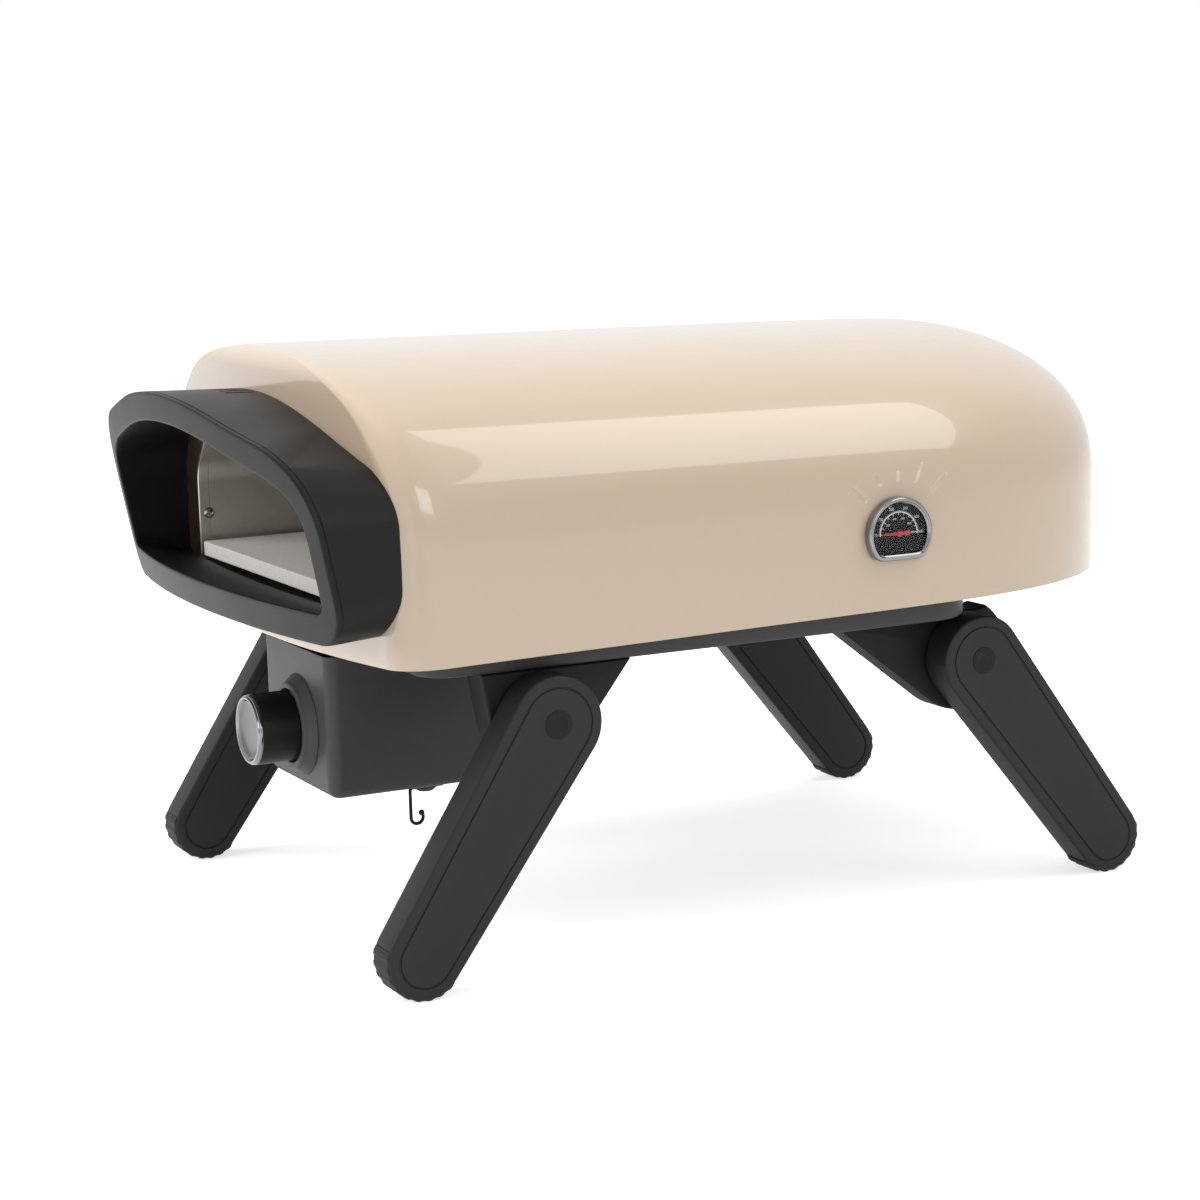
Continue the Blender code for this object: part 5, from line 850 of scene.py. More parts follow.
flange = hood_rings(np.array([TRAY_TOP]), SHEET + GAP)[0]
flange[:, 2] = TRAY_TOP
outside = [(PANEL_INSET, TRAY_BOTTOM + PANEL_RISE), (PANEL_INSET - 0.004, TRAY_BOTTOM)]
outside += [(inset, TRAY_BOTTOM + rise) for inset, rise in edge_round(TRAY_BEND, 6)]
outside += [(0.0, TRAY_TOP - 0.002), (0.0, TRAY_TOP)]
inside = [(SHEET, TRAY_TOP + SHEET), (SHEET + 0.0005, TRAY_BOTTOM + SHEET * 2)]
rows = [tray_plan(*place) for place in outside] + [flange, flange + (0, 0, SHEET)]
rows += [tray_plan(*place) for place in inside]
dress(skin("base_tray_pan", rows, zipped=True, sharp=30.0), grey_paint, "oven", "grey_paint",
      "base_tray")

# %% [markdown]
# ## The gas box
# The valve sits in a pressed box under the front. Its wall stands upright and the bottom edge
# is well rounded, so the ring for each height is moved inwards along a quarter circle. Five
# slots in the bottom let air in, and they are cut.

# %% Gas box
BOX_MIDDLE, BOX_HALF = 0.0205, 0.0625
BOX_REAR_Y, BOX_BOTTOM, BOX_CORNER, BOX_ROUND = -0.105, 0.1017, 0.009, 0.0086
BOX_TOP = TRAY_BOTTOM - GAP
AIR_SLOTS, AIR_SLOT_PITCH, AIR_SLOT_HALF, AIR_SLOT_RUN = 5, 0.014, 0.002, 0.013


def box_ring(inset, z):
    """The box's outline, drawn in by an inset, at a height."""
    return rectangle((BOX_MIDDLE - BOX_HALF, BOX_FRONT_Y), (BOX_MIDDLE + BOX_HALF, BOX_REAR_Y),
                     BOX_CORNER, inset, z, 13, 1 / 4)


def slot_cutter(x, y, low, high):
    """An upright slot: two half circles joined, carried from low to high."""
    angle = np.linspace(0, np.pi, 9)
    end = np.stack([AIR_SLOT_HALF * np.cos(angle),
                    AIR_SLOT_RUN + AIR_SLOT_HALF * np.sin(angle)], -1)
    loop = np.concatenate([end, -end]) + (x, y)
    return skin("slot_cutter", [np.column_stack([loop, np.full(len(loop), z)])
                                for z in (low, high)])


bottom_edge = edge_round(BOX_ROUND, 9)
rows = [box_ring(inset, BOX_BOTTOM + rise) for inset, rise in bottom_edge]
rows += [box_ring(0, z) for z in (0.13, 0.16, BOX_TOP)] + [box_ring(SHEET, BOX_TOP)]
rows += [box_ring(SHEET + inset, BOX_BOTTOM + SHEET + rise) for inset, rise in bottom_edge[::-1]]
gas_box = skin("gas_box_shell", rows, sharp=30.0)
for x in BOX_MIDDLE + (np.arange(AIR_SLOTS) - 2) * AIR_SLOT_PITCH:
    cut_away(gas_box, slot_cutter(x, (BOX_FRONT_Y + BOX_REAR_Y * 3) / 4, BOX_BOTTOM - 0.003,
                                  BOX_BOTTOM + 0.005))
gas_box.data.set_sharp_from_angle(angle=np.radians(30))
dress(gas_box, grey_paint, "oven", "grey_paint", "gas_box")

# %% [markdown]
# ## The control knob
# The knob is four turned parts: a wide cone collar on the box, a dark barrel with a fine pointer
# rib, a bright stepped ring and a dished satin face. Each is one profile of heights and radii,
# and heights run towards the viewer along -Y. The barrel's skirt reaches into a seat in the
# collar, so no gap shows between them, and it has room there for the push of three millimetres.

# %% Knob
KNOB_AXIS, KNOB_RADIUS, KNOB_LENGTH, PUSH_GAP = (0.0273, 0.0, 0.1458), 0.0243, 0.0258, 0.0042
COLLAR_HOLE, COLLAR_RADIUS, COLLAR_DEPTH, COLLAR_SEAT = 0.0180, 0.0353, 0.0085, 0.0060
SKIRT, RIB_HALF, RIB_HEIGHT = 0.0050, 0.0012, 0.0006
COLLAR_BACK = BOX_FRONT_Y - GAP
COLLAR_FACE = COLLAR_BACK - COLLAR_DEPTH
SEAT = COLLAR_FACE + COLLAR_SEAT
BARREL_BACK = COLLAR_FACE - PUSH_GAP
FRONT = BARREL_BACK - KNOB_LENGTH
collar = [(COLLAR_BACK, COLLAR_HOLE), (COLLAR_BACK, COLLAR_RADIUS), (COLLAR_BACK - 0.0057, 0.0305),
          (COLLAR_FACE, 0.0290), (COLLAR_FACE, 0.0256), (SEAT, 0.0252), (SEAT, COLLAR_HOLE)]
dress(turned("knob_collar_cone", "Y", KNOB_AXIS, collar,
             [0, 0.0004, 0.003, 0.0015, 0.0008, 0.0005, 0], 128, True), grey_paint, "oven",
      "grey_paint", "knob_collar")

barrel = soft_corners(
    [(BARREL_BACK + 0.0030, 0.0), (BARREL_BACK + 0.0030, 0.0220), (BARREL_BACK + SKIRT, 0.0224),
     (BARREL_BACK + SKIRT, KNOB_RADIUS), (FRONT + 0.0040, KNOB_RADIUS), (FRONT + 0.0040, 0.0233),
     (FRONT + 0.0040, 0.0)], [0, 0.0003, 0.0006, 0.0010, 0.0008, 0.0003, 0])
barrel_rings = turned_rings("Y", KNOB_AXIS, barrel, 192)
spoke = barrel_rings - KNOB_AXIS
rib = np.clip((RIB_HALF - np.abs(spoke[..., 0])) / 0.0006, 0, 1) * (spoke[..., 2] > 0)
rib *= (np.hypot(spoke[..., 0], spoke[..., 2]) > KNOB_RADIUS - 0.0004)
barrel_rings[..., 2] += RIB_HEIGHT * rib
dress(skin("control_knob_barrel", barrel_rings, sharp=40.0), frame_satin, "knob", "dark_satin",
      "control_knob")

ring = [(FRONT + 0.0037, 0.0203), (FRONT + 0.0037, 0.0240), (FRONT + 0.0017, 0.0240),
        (FRONT + 0.0015, 0.0232), (FRONT + 0.0003, 0.0230), (FRONT, 0.0223),
        (FRONT + 0.0002, 0.0212), (FRONT + 0.0014, 0.0206), (FRONT + 0.0016, 0.0203)]
dress(turned("knob_bright_ring", "Y", KNOB_AXIS, ring,
             [0, 0.0004, 0.0004, 0.0002, 0.0003, 0.0004, 0.0004, 0.0002, 0.0002], 160, True),
      chrome, "knob", "chrome", "knob_ring")

dish = [(FRONT + 0.0037, 0.0), (FRONT + 0.0037, 0.0200), (FRONT + 0.0012, 0.0200),
        (FRONT + 0.0014, 0.0189), (FRONT + 0.0030, 0.0156), (FRONT + 0.0034, 0.0)]
dress(turned("knob_dished_face", "Y", KNOB_AXIS, dish, [0, 0.0003, 0.0003, 0.0008, 0.0040, 0], 128),
      knob_satin, "knob", "satin_metal", "knob_face")

# %% [markdown]
# ## The thermometer
# The thermometer is round above and flat below, like a letter D on its back. Its outline is a
# circle whose lower half meets a chord through a soft minimum: (r^-p + chord^-p)^(-1/p). Rings
# of that outline at different heights and insets make the bezel, the plate and the lens.

# %% Thermometer body
DIAL_RADIUS, DIAL_FLAT, DIAL_POWER = 0.0251, 0.0180, 14.0
DIAL_WALL = HOOD_HALF + GAP
BEZEL_DEPTH, BEZEL_BAND = 0.0070, 0.0042


def dial_rings(layers, steps=160):
    """D-shaped rings given as (height from the wall, inset)."""
    layers = np.asarray(layers, float)
    angle = np.linspace(0, 2 * np.pi, steps, endpoint=False)
    radius = (DIAL_RADIUS - layers[:, 1])[:, None]
    down = np.maximum(-np.sin(angle), 0.001)
    chord = (DIAL_FLAT - layers[:, 1])[:, None] / down
    reach = (radius ** -DIAL_POWER + chord ** -DIAL_POWER) ** (-1 / DIAL_POWER)
    rings = np.empty((len(layers), steps, 3))
    rings[..., 0] = DIAL_WALL + layers[:, :1]
    rings[..., 1] = DIAL_Y + reach * np.cos(angle)
    rings[..., 2] = DIAL_Z + reach * np.sin(angle)
    return rings


bezel = soft_corners(
    [(0, BEZEL_BAND), (0, 0), (BEZEL_DEPTH - 0.0018, 0), (BEZEL_DEPTH, 0.0010),
     (BEZEL_DEPTH, 0.0027), (BEZEL_DEPTH - 0.0006, 0.0030), (BEZEL_DEPTH - 0.0016, BEZEL_BAND)],
    [0, 0.0003, 0.0009, 0.0009, 0.0003, 0.0003, 0.0002], 5, True)
dress(skin("dial_bright_bezel", dial_rings(bezel), wrap_rows=True), chrome, "oven", "chrome",
      "dial_bezel")
inset = BEZEL_BAND + GAP
plate = [(0.0018, inset), (0.0023, inset), (0.0023, inset + 0.003)]
dress(skin("dial_face_plate", dial_rings(plate)), dial_black, "oven", "dial_black", "dial_plate")
lens = soft_corners([(0.0046, inset), (0.0054, inset), (0.0056, inset + 0.0006)], [0, 0.0003, 0])
lens = np.concatenate([lens, [(0.0058, 0.010), (0.00585, 0.014)]])
dress(skin("dial_clear_lens", dial_rings(lens)), glass, "oven", "clear_glass", "dial_lens")

# %% [markdown]
# ### The scale
# A white arc over the upper half, short ticks and two rings of small plain numbers. The ticks
# are many copies of one little box, made in one array. Numbers are text, turned into a mesh.

# %% Dial scale
MARK_LOW, MARK_HIGH = DIAL_WALL + 0.0023, DIAL_WALL + 0.00238
ARC_INNER, ARC_OUTER, TICK_INNER, TICK_OUTER = 0.0141, 0.0149, 0.0126, 0.0157


def arc_band(name, start, end, steps=96):
    """A flat band between two radii, closed by its thickness."""
    angle = np.radians(np.linspace(start, end, steps))
    corners = ((MARK_LOW, ARC_INNER), (MARK_LOW, ARC_OUTER), (MARK_HIGH, ARC_OUTER),
               (MARK_HIGH, ARC_INNER))
    rows = [np.stack([np.full(steps, x), DIAL_Y + r * np.cos(angle), DIAL_Z + r * np.sin(angle)],
                     -1) for x, r in corners]
    return skin(name, np.stack(rows, 1))


def radial_bars(name, angles, inner, outer, half):
    """Small boxes along the radii at many angles, all eight corners as one array."""
    angles = np.radians(angles)
    out = np.stack([np.cos(angles), np.sin(angles)], -1)[:, None]
    side = np.stack([-np.sin(angles), np.cos(angles)], -1)[:, None]
    reach = np.array([inner, outer, outer, inner])[:, None]
    width = np.array([-half, -half, half, half])[:, None]
    flat = out * reach + side * width + (DIAL_Y, DIAL_Z)
    points = np.concatenate([np.concatenate([np.full((*flat.shape[:2], 1), x), flat], -1)
                             for x in (MARK_LOW, MARK_HIGH)], 1).reshape(-1, 3)
    one = np.array([[3, 2, 1, 0], [4, 5, 6, 7], [0, 1, 5, 4], [1, 2, 6, 5], [2, 3, 7, 6],
                    [3, 0, 4, 7]])
    faces = (one + 8 * np.arange(len(angles))[:, None, None]).reshape(-1, 4)
    return body_mesh(name, points, [faces])


def scale_numbers(name, values, radius, size):
    """Numbers upright round the dial, joined in one flat mesh facing +X."""
    points, faces, start = [], [], 0
    for value, angle in zip(values, np.radians(np.linspace(180, 0, len(values)))):
        text = bpy.data.curves.new(name, "FONT")
        text.body, text.size = str(value), size
        text.align_x, text.align_y, text.extrude = "CENTER", "CENTER", 0.00003
        holder = new_object(name, text)
        flat = evaluated_mesh(holder)
        bpy.data.objects.remove(holder, do_unlink=True)
        local = np.array([v.co for v in flat.vertices])
        points.append(np.stack([MARK_LOW + 0.00004 + local[:, 2],
                                DIAL_Y + SHIFT_Y + radius * np.cos(angle) + local[:, 0],
                                DIAL_Z + radius * np.sin(angle) + local[:, 1]], -1))
        faces += [[start + i for i in p.vertices] for p in flat.polygons]
        start += len(local)
    mesh = bpy.data.meshes.new(name)
    mesh.from_pydata(np.concatenate(points).tolist(), [], faces)
    return new_object(name, mesh)


for mark in (arc_band("dial_white_arc", 184.0, -4.0),
             radial_bars("dial_long_ticks", np.linspace(180, 0, 11), TICK_INNER, ARC_INNER, 0.00020),
             radial_bars("dial_short_ticks", np.linspace(180, 0, 51), ARC_OUTER, TICK_OUTER,
                         0.00010),
             scale_numbers("dial_outer_numbers", range(0, 600, 100), 0.0174, 0.0027),
             scale_numbers("dial_inner_numbers", range(0, 1200, 200), 0.0104, 0.0020)):
    dress(mark, dial_white, "oven", "dial_black")

# %% [markdown]
# ### The needle
# A red bar on a hub: fine at its tip on the left and round at its tail on the right. The width
# along its length is a short list of stations, and each station gives six corners.

# %% Needle
NEEDLE_LOW, NEEDLE_EDGE, NEEDLE_HIGH = DIAL_WALL + np.array([0.0031, 0.00345, 0.0036])
stations = np.array([(-0.0135, 0.0003), (-0.0060, 0.0008), (0.0, 0.0012), (0.0040, 0.0012),
                     (0.0056, 0.0018), (0.0072, 0.0018), (0.0081, 0.0012), (0.0084, 0.0004)])
run, half = stations[:, 0] + DIAL_Y, stations[:, 1]
corners = ((NEEDLE_LOW, -1), (NEEDLE_LOW, 1), (NEEDLE_EDGE, 1), (NEEDLE_HIGH, 0.4),
           (NEEDLE_HIGH, -0.4), (NEEDLE_EDGE, -1))
needle_rings = np.stack([np.stack([np.full(len(run), x), run, DIAL_Z + half * share], -1)
                         for x, share in corners], 1)
dress(skin("dial_red_needle", needle_rings), needle_red, "needle", "needle_red", "dial_needle")
hub = [(DIAL_WALL + 0.0024, 0.0), (DIAL_WALL + 0.0024, 0.0022), (DIAL_WALL + 0.0041, 0.0022),
       (DIAL_WALL + 0.0043, 0.0)]
dress(turned("dial_needle_hub", "X", (0, DIAL_Y, DIAL_Z), hub, [0, 0.0002, 0.0006, 0], 48),
      needle_red, "needle", "needle_red")

# %% [markdown]
# ## Inside the mouth
# The liner is one stainless sheet bent over the chamber. A sheet is its middle line moved both
# ways along the normal. Each bend has a radius, and the front edge is hemmed, so it looks twice
# as thick there. The baking stone lies behind it, a flat block with round edges.

# %% Liner
CHAMBER_HALF, CHAMBER_FRONT, CHAMBER_REAR = 0.185, -0.2405, 0.205
WALL_TOP, CEILING_HALF, CEILING, LINER_BEND = 0.302, 0.142, 0.352, 0.010
FLOOR_TOP = TRAY_TOP + SHEET * 2 + GAP
HEM, HEM_STEP, HEM_THICK = 0.0085, 0.0006, 0.0009


def sheet_section(line, low, high):
    """Closed section of a bent sheet: its line moved along the normal by low and by high."""
    slope = np.gradient(line, axis=0)
    normal = np.stack([slope[:, 1], -slope[:, 0]], -1)
    normal /= np.linalg.norm(normal, axis=1)[:, None]
    return np.concatenate([line + normal * low, (line + normal * high)[::-1]])


def ribbon_skin(name, rings):
    """A closed bent sheet: sides from the rings, and each end filled across its thickness."""
    rings = np.stack(rings)
    rows, columns = rings.shape[:2]
    k = np.arange(columns // 2 - 1)
    cap = np.stack([k, k + 1, columns - 2 - k, columns - 1 - k], -1)
    faces = [grid_faces(rows, columns, False), cap[:, ::-1], cap + (rows - 1) * columns]
    return body_mesh(name, rings.reshape(-1, 3), faces, 30.0)


right = [(CHAMBER_HALF, FLOOR_TOP + GAP), (CHAMBER_HALF, WALL_TOP), (CEILING_HALF, CEILING)]
liner_line = soft_corners(right + [(-x, z) for x, z in right[::-1]],
                          [0] + [LINER_BEND] * 4 + [0], 8)
hem_rows = [(CHAMBER_FRONT, -0.0005), (CHAMBER_FRONT + HEM_STEP, -HEM_THICK),
            (CHAMBER_FRONT + HEM - HEM_STEP, -HEM_THICK), (CHAMBER_FRONT + HEM, 0.0)]
hem_rows += [(y, 0.0) for y in np.linspace(CHAMBER_FRONT + HEM + 0.01, CHAMBER_REAR, 12)]
liner_rings = []
for y, inward in hem_rows:
    section = sheet_section(liner_line, inward, SHEET)
    liner_rings.append(np.stack([section[:, 0], np.full(len(section), y), section[:, 1]], -1))
dress(ribbon_skin("liner_bent_sheet", liner_rings), steel, "oven", "brushed_steel", "liner_arch")

# %% Stone
STONE_HALF, STONE_FRONT, STONE_CORNER, STONE_EDGE = 0.1725, -0.2427, 0.0030, 0.0012
stone_low, stone_high = (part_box("pizza_stone")[i].z for i in (0, 1))
edges = edge_round(STONE_EDGE, 6)
rows = [(inset, stone_low + rise) for inset, rise in edges]
rows += [(inset, stone_high - rise) for inset, rise in edges[::-1]]
stone_rings = [rectangle((-STONE_HALF, STONE_FRONT), (STONE_HALF, STONE_FRONT + STONE_HALF * 2),
                         STONE_CORNER, inset, z, 9, 1 / 8) for inset, z in rows]
dress(skin("baking_stone_slab", stone_rings, sharp=40.0), stone_white, "stone", "stone",
      "pizza_stone")

# %% [markdown]
# ## The legs
# Each leg is a moulded bar, wide at its pivot and narrower at its foot: the outline round two
# circles of different size. Rings of that outline, moved inwards, round its edges and carve the
# fine line that runs parallel to the outline on both faces.

# %% Leg outline
PIVOT_Z, FOOT_RADIUS = 0.1680, 0.0268
PIVOT_END, LEG_END, LEG_THICK = 0.0315, 0.0255, 0.0270
LEG_DROP = PIVOT_Z - FOOT_RADIUS
FRONT_PIVOT, REAR_PIVOT = -0.1435, 0.2025
FRONT_FOOT = FRONT_PIVOT - LEG_DROP * np.tan(np.radians(34.5))
REAR_FOOT = REAR_PIVOT + LEG_DROP * np.tan(np.radians(37.2))
LEGS = [(f"{row}_{word}", side, pivot, foot, out)
        for word, side in (("left", -1), ("right", 1))
        for row, pivot, foot, out in (("front", FRONT_PIVOT, FRONT_FOOT, 0.2284),
                                      ("rear", REAR_PIVOT, REAR_FOOT, 0.1961))]


def leg_loop(pivot_y, foot_y, inset):
    """Two arcs joined by tangents: the lean of the tangents comes from the radii's difference."""
    pivot, foot = complex(pivot_y, PIVOT_Z), complex(foot_y, FOOT_RADIUS)
    run = foot - pivot
    lean = np.arccos((PIVOT_END - LEG_END) / abs(run))
    heading = np.angle(run)
    first = pivot + (PIVOT_END - inset) * np.exp(
        1j * np.linspace(heading + lean, heading + 2 * np.pi - lean, 60))
    second = foot + (LEG_END - inset) * np.exp(1j * np.linspace(heading - lean, heading + lean, 48))
    down, up = np.linspace(first[-1], second[0], 22)[1:-1], np.linspace(second[-1], first[0], 22)
    return np.concatenate([first, down, second, up[1:-1]])


# %% Leg bodies
EDGE_RADIUS = 0.0022
LINE = ((0.0000, 0.0068), (0.0003, 0.0071), (0.0009, 0.0074), (0.0009, 0.0080),
        (0.0003, 0.0083), (0.0000, 0.0086), (0.0000, 0.0180))
side_edge = edge_round(EDGE_RADIUS, 7)
near_face = [(-drop, inset) for drop, inset in side_edge] + [(-depth, i) for depth, i in LINE]
leg_layers = [(-LEG_THICK - h, i) for h, i in near_face[::-1]] + near_face
for tag, side, pivot, foot, out in LEGS:
    rings = [upright(side * (out + h), leg_loop(pivot, foot, i)) for h, i in leg_layers]
    dress(skin(f"leg_bar_{tag}", rings, sharp=35.0), leg_plastic, f"leg_{tag}", "leg_plastic",
          f"leg_{tag}")

# %% [markdown]
# ### Foot pads and pivot caps
# A ribbed rubber pad wraps the foot from its outward side to under it. Its section is a rounded
# rectangle, and the ribs are a slow wave in its outer radius. A low round cap hides each pin.

# %% Foot pads and caps
PAD_START, PAD_END, PAD_INNER, PAD_SIDE = 160.0, 318.0, FOOT_RADIUS - 0.0030 + GAP, 0.0015
RIBS, RIB_DEPTH = 9, 0.0006


def pad_rings(side, pivot, foot, out):
    """Sections carried round the foot's circle: radius less a rib wave, across the leg's width."""
    outward = 1 if foot < pivot else -1
    angle = np.radians(np.linspace(PAD_START, PAD_END, 127))
    ribs = np.clip(np.cos(np.linspace(0, 2 * np.pi * RIBS, 127)) * 2.5, -1, 1)
    wave = RIB_DEPTH * ribs / 2 + RIB_DEPTH / 2
    low, high = out - LEG_THICK + PAD_SIDE, out - PAD_SIDE
    section = soft_corners([(low, PAD_INNER), (low, FOOT_RADIUS), (high, FOOT_RADIUS),
                            (high, PAD_INNER)], [0.0002, 0.0012, 0.0012, 0.0002], 4, True)
    share = np.clip((section[:, 1] - PAD_INNER) / (FOOT_RADIUS - PAD_INNER), 0, 1)
    radius = section[:, 1] - share * wave[:, None]
    rings = np.empty((len(angle), len(section), 3))
    rings[..., 0] = side * section[:, 0]
    rings[..., 1] = foot + outward * radius * np.cos(angle)[:, None]
    rings[..., 2] = FOOT_RADIUS + radius * np.sin(angle)[:, None]
    return rings


CAP = ((-LEG_THICK - 0.030, 0.0, 0), (-LEG_THICK - 0.030, 0.0050, 0.0003), (-0.0016, 0.0050, 0),
       (-0.0016, 0.0095, 0.0002), (0.0006, 0.0095, 0.0006), (0.0006, 0.0060, 0.0002),
       (0.0003, 0.0055, 0.0003), (0.0003, 0.0, 0))
for tag, side, pivot, foot, out in LEGS:
    dress(skin(f"foot_ribbed_pad_{tag}", pad_rings(side, pivot, foot, out), sharp=45.0), rubber,
          f"leg_{tag}", "foot_rubber", f"foot_pad_{tag}")
    cap = [(side * (out + h), r) for h, r, cut in CAP]
    dress(turned(f"pivot_cap_{tag}", "X", (0, pivot, PIVOT_Z), cap, [cut for h, r, cut in CAP], 72),
          black_paint, "oven", "black_paint", f"pivot_pin_{tag}")

# %% [markdown]
# ### Leg brackets
# A black cast bracket carries each leg under the tray. Its outline runs from the tray down round
# the pivot. Rings shrink towards the pivot to round its edges, and a low boss meets the leg.

# %% Leg brackets
BRACKET_THICK, BOSS_RADIUS, BOSS_LENGTH, MOVING_GAP = 0.026, 0.0270, 0.0020, 0.0008
BRACKETS = {"front": (0.040, 0.068, 0.0340), "rear": (0.105, 0.016, 0.0400)}


def bracket_loop(pivot, ahead, behind, radius):
    """Tray corners joined to a circle round the pivot by its tangents."""
    left, right = (complex(pivot.real + y, BOX_TOP) for y in (-ahead, behind))

    def tangent(point, sign):
        """Angle where a line from a point touches the circle: heading + sign * arccos(r / d)."""
        run = point - pivot
        return np.angle(run) + sign * np.arccos(radius / max(abs(run), radius + GAP))

    start, end = tangent(left, 1) % (2 * np.pi), tangent(right, -1) % (2 * np.pi)
    end += 2 * np.pi * (end < start)
    arc = pivot + radius * np.exp(1j * np.linspace(start, end, 40))
    return np.concatenate([np.linspace(left, arc[0], 14)[:-1], arc,
                           np.linspace(arc[-1], right, 8)[1:],
                           np.linspace(right, left, 30)[1:-1]])


for tag, side, pivot_y, foot, out in LEGS:
    pivot = complex(pivot_y, PIVOT_Z)
    loop = bracket_loop(pivot, *BRACKETS[tag.split("_")[0]])
    face = out - LEG_THICK - MOVING_GAP - BOSS_LENGTH
    layers = [(face - BRACKET_THICK + h, i) for h, i in side_edge[::-1]]
    layers += [(face - h, i) for h, i in side_edge]
    rings = [upright(side * x, drawn_in(loop, i, pivot)) for x, i in layers]
    dress(skin(f"leg_cast_bracket_{tag}", rings, sharp=40.0), black_paint, "oven",
          "black_paint", f"leg_bracket_{tag}")
    boss = [(side * (face + h), r) for h, r in ((-0.002, 0.0), (-0.002, BOSS_RADIUS),
                                               (BOSS_LENGTH, BOSS_RADIUS), (BOSS_LENGTH, 0.0))]
    dress(turned(f"leg_bracket_boss_{tag}", "X", (0, pivot_y, PIVOT_Z), boss,
                 [0, 0.0004, 0.0008, 0]), black_paint, "oven", "black_paint")

# %% [markdown]
# ## Hook and clip
# A small wire hook hangs under the gas box and swings on its straight run. A wire is a circle
# carried along a path: at each point the circle lies across the path's direction. The ends
# are rounded by shrinking the circle. The clip that holds it is a leaf-shaped pressed plate.

# %% Wire hook
HOOK_X, HOOK_Y, WIRE, BALL = 0.0655, -0.1815, 0.0012, 0.0021
HOOK_TOP = BOX_BOTTOM - GAP * 2 - WIRE
HOOK_RUN, CURL, HOOK_DROP = 0.024, 0.0045, 0.021


def wire(name, path, radius, steps=16):
    """A circle across a path in a plane of constant x: centre + r (cos * side + sin * across)."""
    path = np.asarray(path, float)
    along = np.gradient(path, axis=0)
    along /= np.linalg.norm(along, axis=1)[:, None]
    ends = np.array([0.0, 0.45, 0.8, 0.97])
    shift = -radius * np.sqrt(1 - ends ** 2)
    head, tail = path[0] + along[0] * shift[:, None], path[-1] - along[-1] * shift[::-1, None]
    centres = np.concatenate([head, path, tail])
    directions = np.concatenate([np.repeat(along[:1], 4, 0), along, np.repeat(along[-1:], 4, 0)])
    sizes = radius * np.concatenate([ends + 0.01, np.ones(len(path)), ends[::-1] + 0.01])
    side = np.array([1.0, 0.0, 0.0])
    across = np.cross(directions, side)
    angle = np.linspace(0, 2 * np.pi, steps, endpoint=False)[None, :, None]
    ring = np.cos(angle) * side + np.sin(angle) * across[:, None]
    return skin(name, centres[:, None] + sizes[:, None, None] * ring, sharp=60.0)


def arc(y, z, radius, start, end, steps):
    """Points y + iz on a circle between two angles in degrees."""
    return complex(y, z) + radius * np.exp(1j * np.radians(np.linspace(start, end, steps)))


low, bend = HOOK_TOP - HOOK_DROP, CURL / 2
hook_line = np.concatenate([
    np.linspace(HOOK_Y + HOOK_RUN, HOOK_Y + CURL, 8)[:-1] + 1j * HOOK_TOP,
    arc(HOOK_Y + bend, HOOK_TOP - bend, bend, 90, 180, 10),
    HOOK_Y + 1j * np.linspace(HOOK_TOP - bend, low, 8)[1:-1],
    arc(HOOK_Y + CURL, low, CURL, 180, 400, 34)])
hook_path = upright(HOOK_X, hook_line)
dress(wire("wire_swing_hook", hook_path, WIRE), black_paint, "hook", "black_paint", "wire_hook")
ball = BALL * np.exp(1j * np.radians(np.linspace(-90, 90, 13)))
dress(turned("wire_hook_ball", "X", hook_path[-1], np.stack([ball.imag, ball.real], -1), steps=24),
      black_paint, "hook", "black_paint")

# %% Leaf clip
LEAF_HALF, LEAF_WIDE, LEAF_AHEAD = 0.0088, 0.0056, 0.012
LEAF_LAYERS = ((1.0, 0.0), (1.0, -0.0012), (0.96, -0.0018), (0.80, -0.0034), (0.55, -0.0046),
               (0.30, -0.0050))
angle = np.linspace(0, 2 * np.pi, 64, endpoint=False)
leaf = np.stack([LEAF_WIDE * np.abs(np.sin(angle)) ** 1.4 * np.sign(np.sin(angle)),
                 LEAF_HALF * np.cos(angle)], -1)
rings = [np.column_stack([leaf * share + (HOOK_X, HOOK_Y + LEAF_AHEAD),
                          np.full(64, BOX_BOTTOM - GAP + drop)]) for share, drop in LEAF_LAYERS]
dress(skin("hook_leaf_clip", rings), dark_steel, "oven", "dark_steel", "hook_saddle")

# %% [markdown]
# ## Screws and the gas inlet
# Small things sell the scale: round-headed screws in the liner with a cross recess, and a brass
# inlet with a hexagon and a threaded nose at the back. A thread reads well as a fine saw-tooth
# in the turned profile.

# %% Screws
SCREW_RADIUS, SCREW_HEIGHT, SCREW_Y, SCREW_Z = 0.0040, 0.0020, -0.2330, 0.2690
CROSS_HALF, CROSS_REACH, CROSS_DEPTH = 0.00045, 0.0024, 0.0006


def screw_head(name, x_face, side):
    """A domed head on a wall that faces along x, with a pressed cross in its dome."""
    a = np.radians(np.linspace(0, 90, 10))
    profile = np.stack([SCREW_HEIGHT * np.sin(a), SCREW_RADIUS * np.cos(a)], -1)
    rings = turned_rings("X", (0, SCREW_Y, SCREW_Z),
                         np.concatenate([[(-0.0004, SCREW_RADIUS)], profile]), 96)
    across, up = np.abs(rings[..., 1] - SCREW_Y), np.abs(rings[..., 2] - SCREW_Z)
    cross = (np.minimum(across, up) < CROSS_HALF) & (np.maximum(across, up) < CROSS_REACH)
    rings[..., 0] -= CROSS_DEPTH * (cross & (rings[..., 0] > 0))
    rings[..., 0] = x_face + side * rings[..., 0]
    return skin(name, rings, sharp=30.0)


for word, side in (("left", -1), ("right", 1)):
    dress(screw_head(f"liner_round_screw_{word}", side * (CHAMBER_HALF - HEM_THICK), -side),
          satin_metal, "oven", "satin_metal", f"liner_screw_{word}")

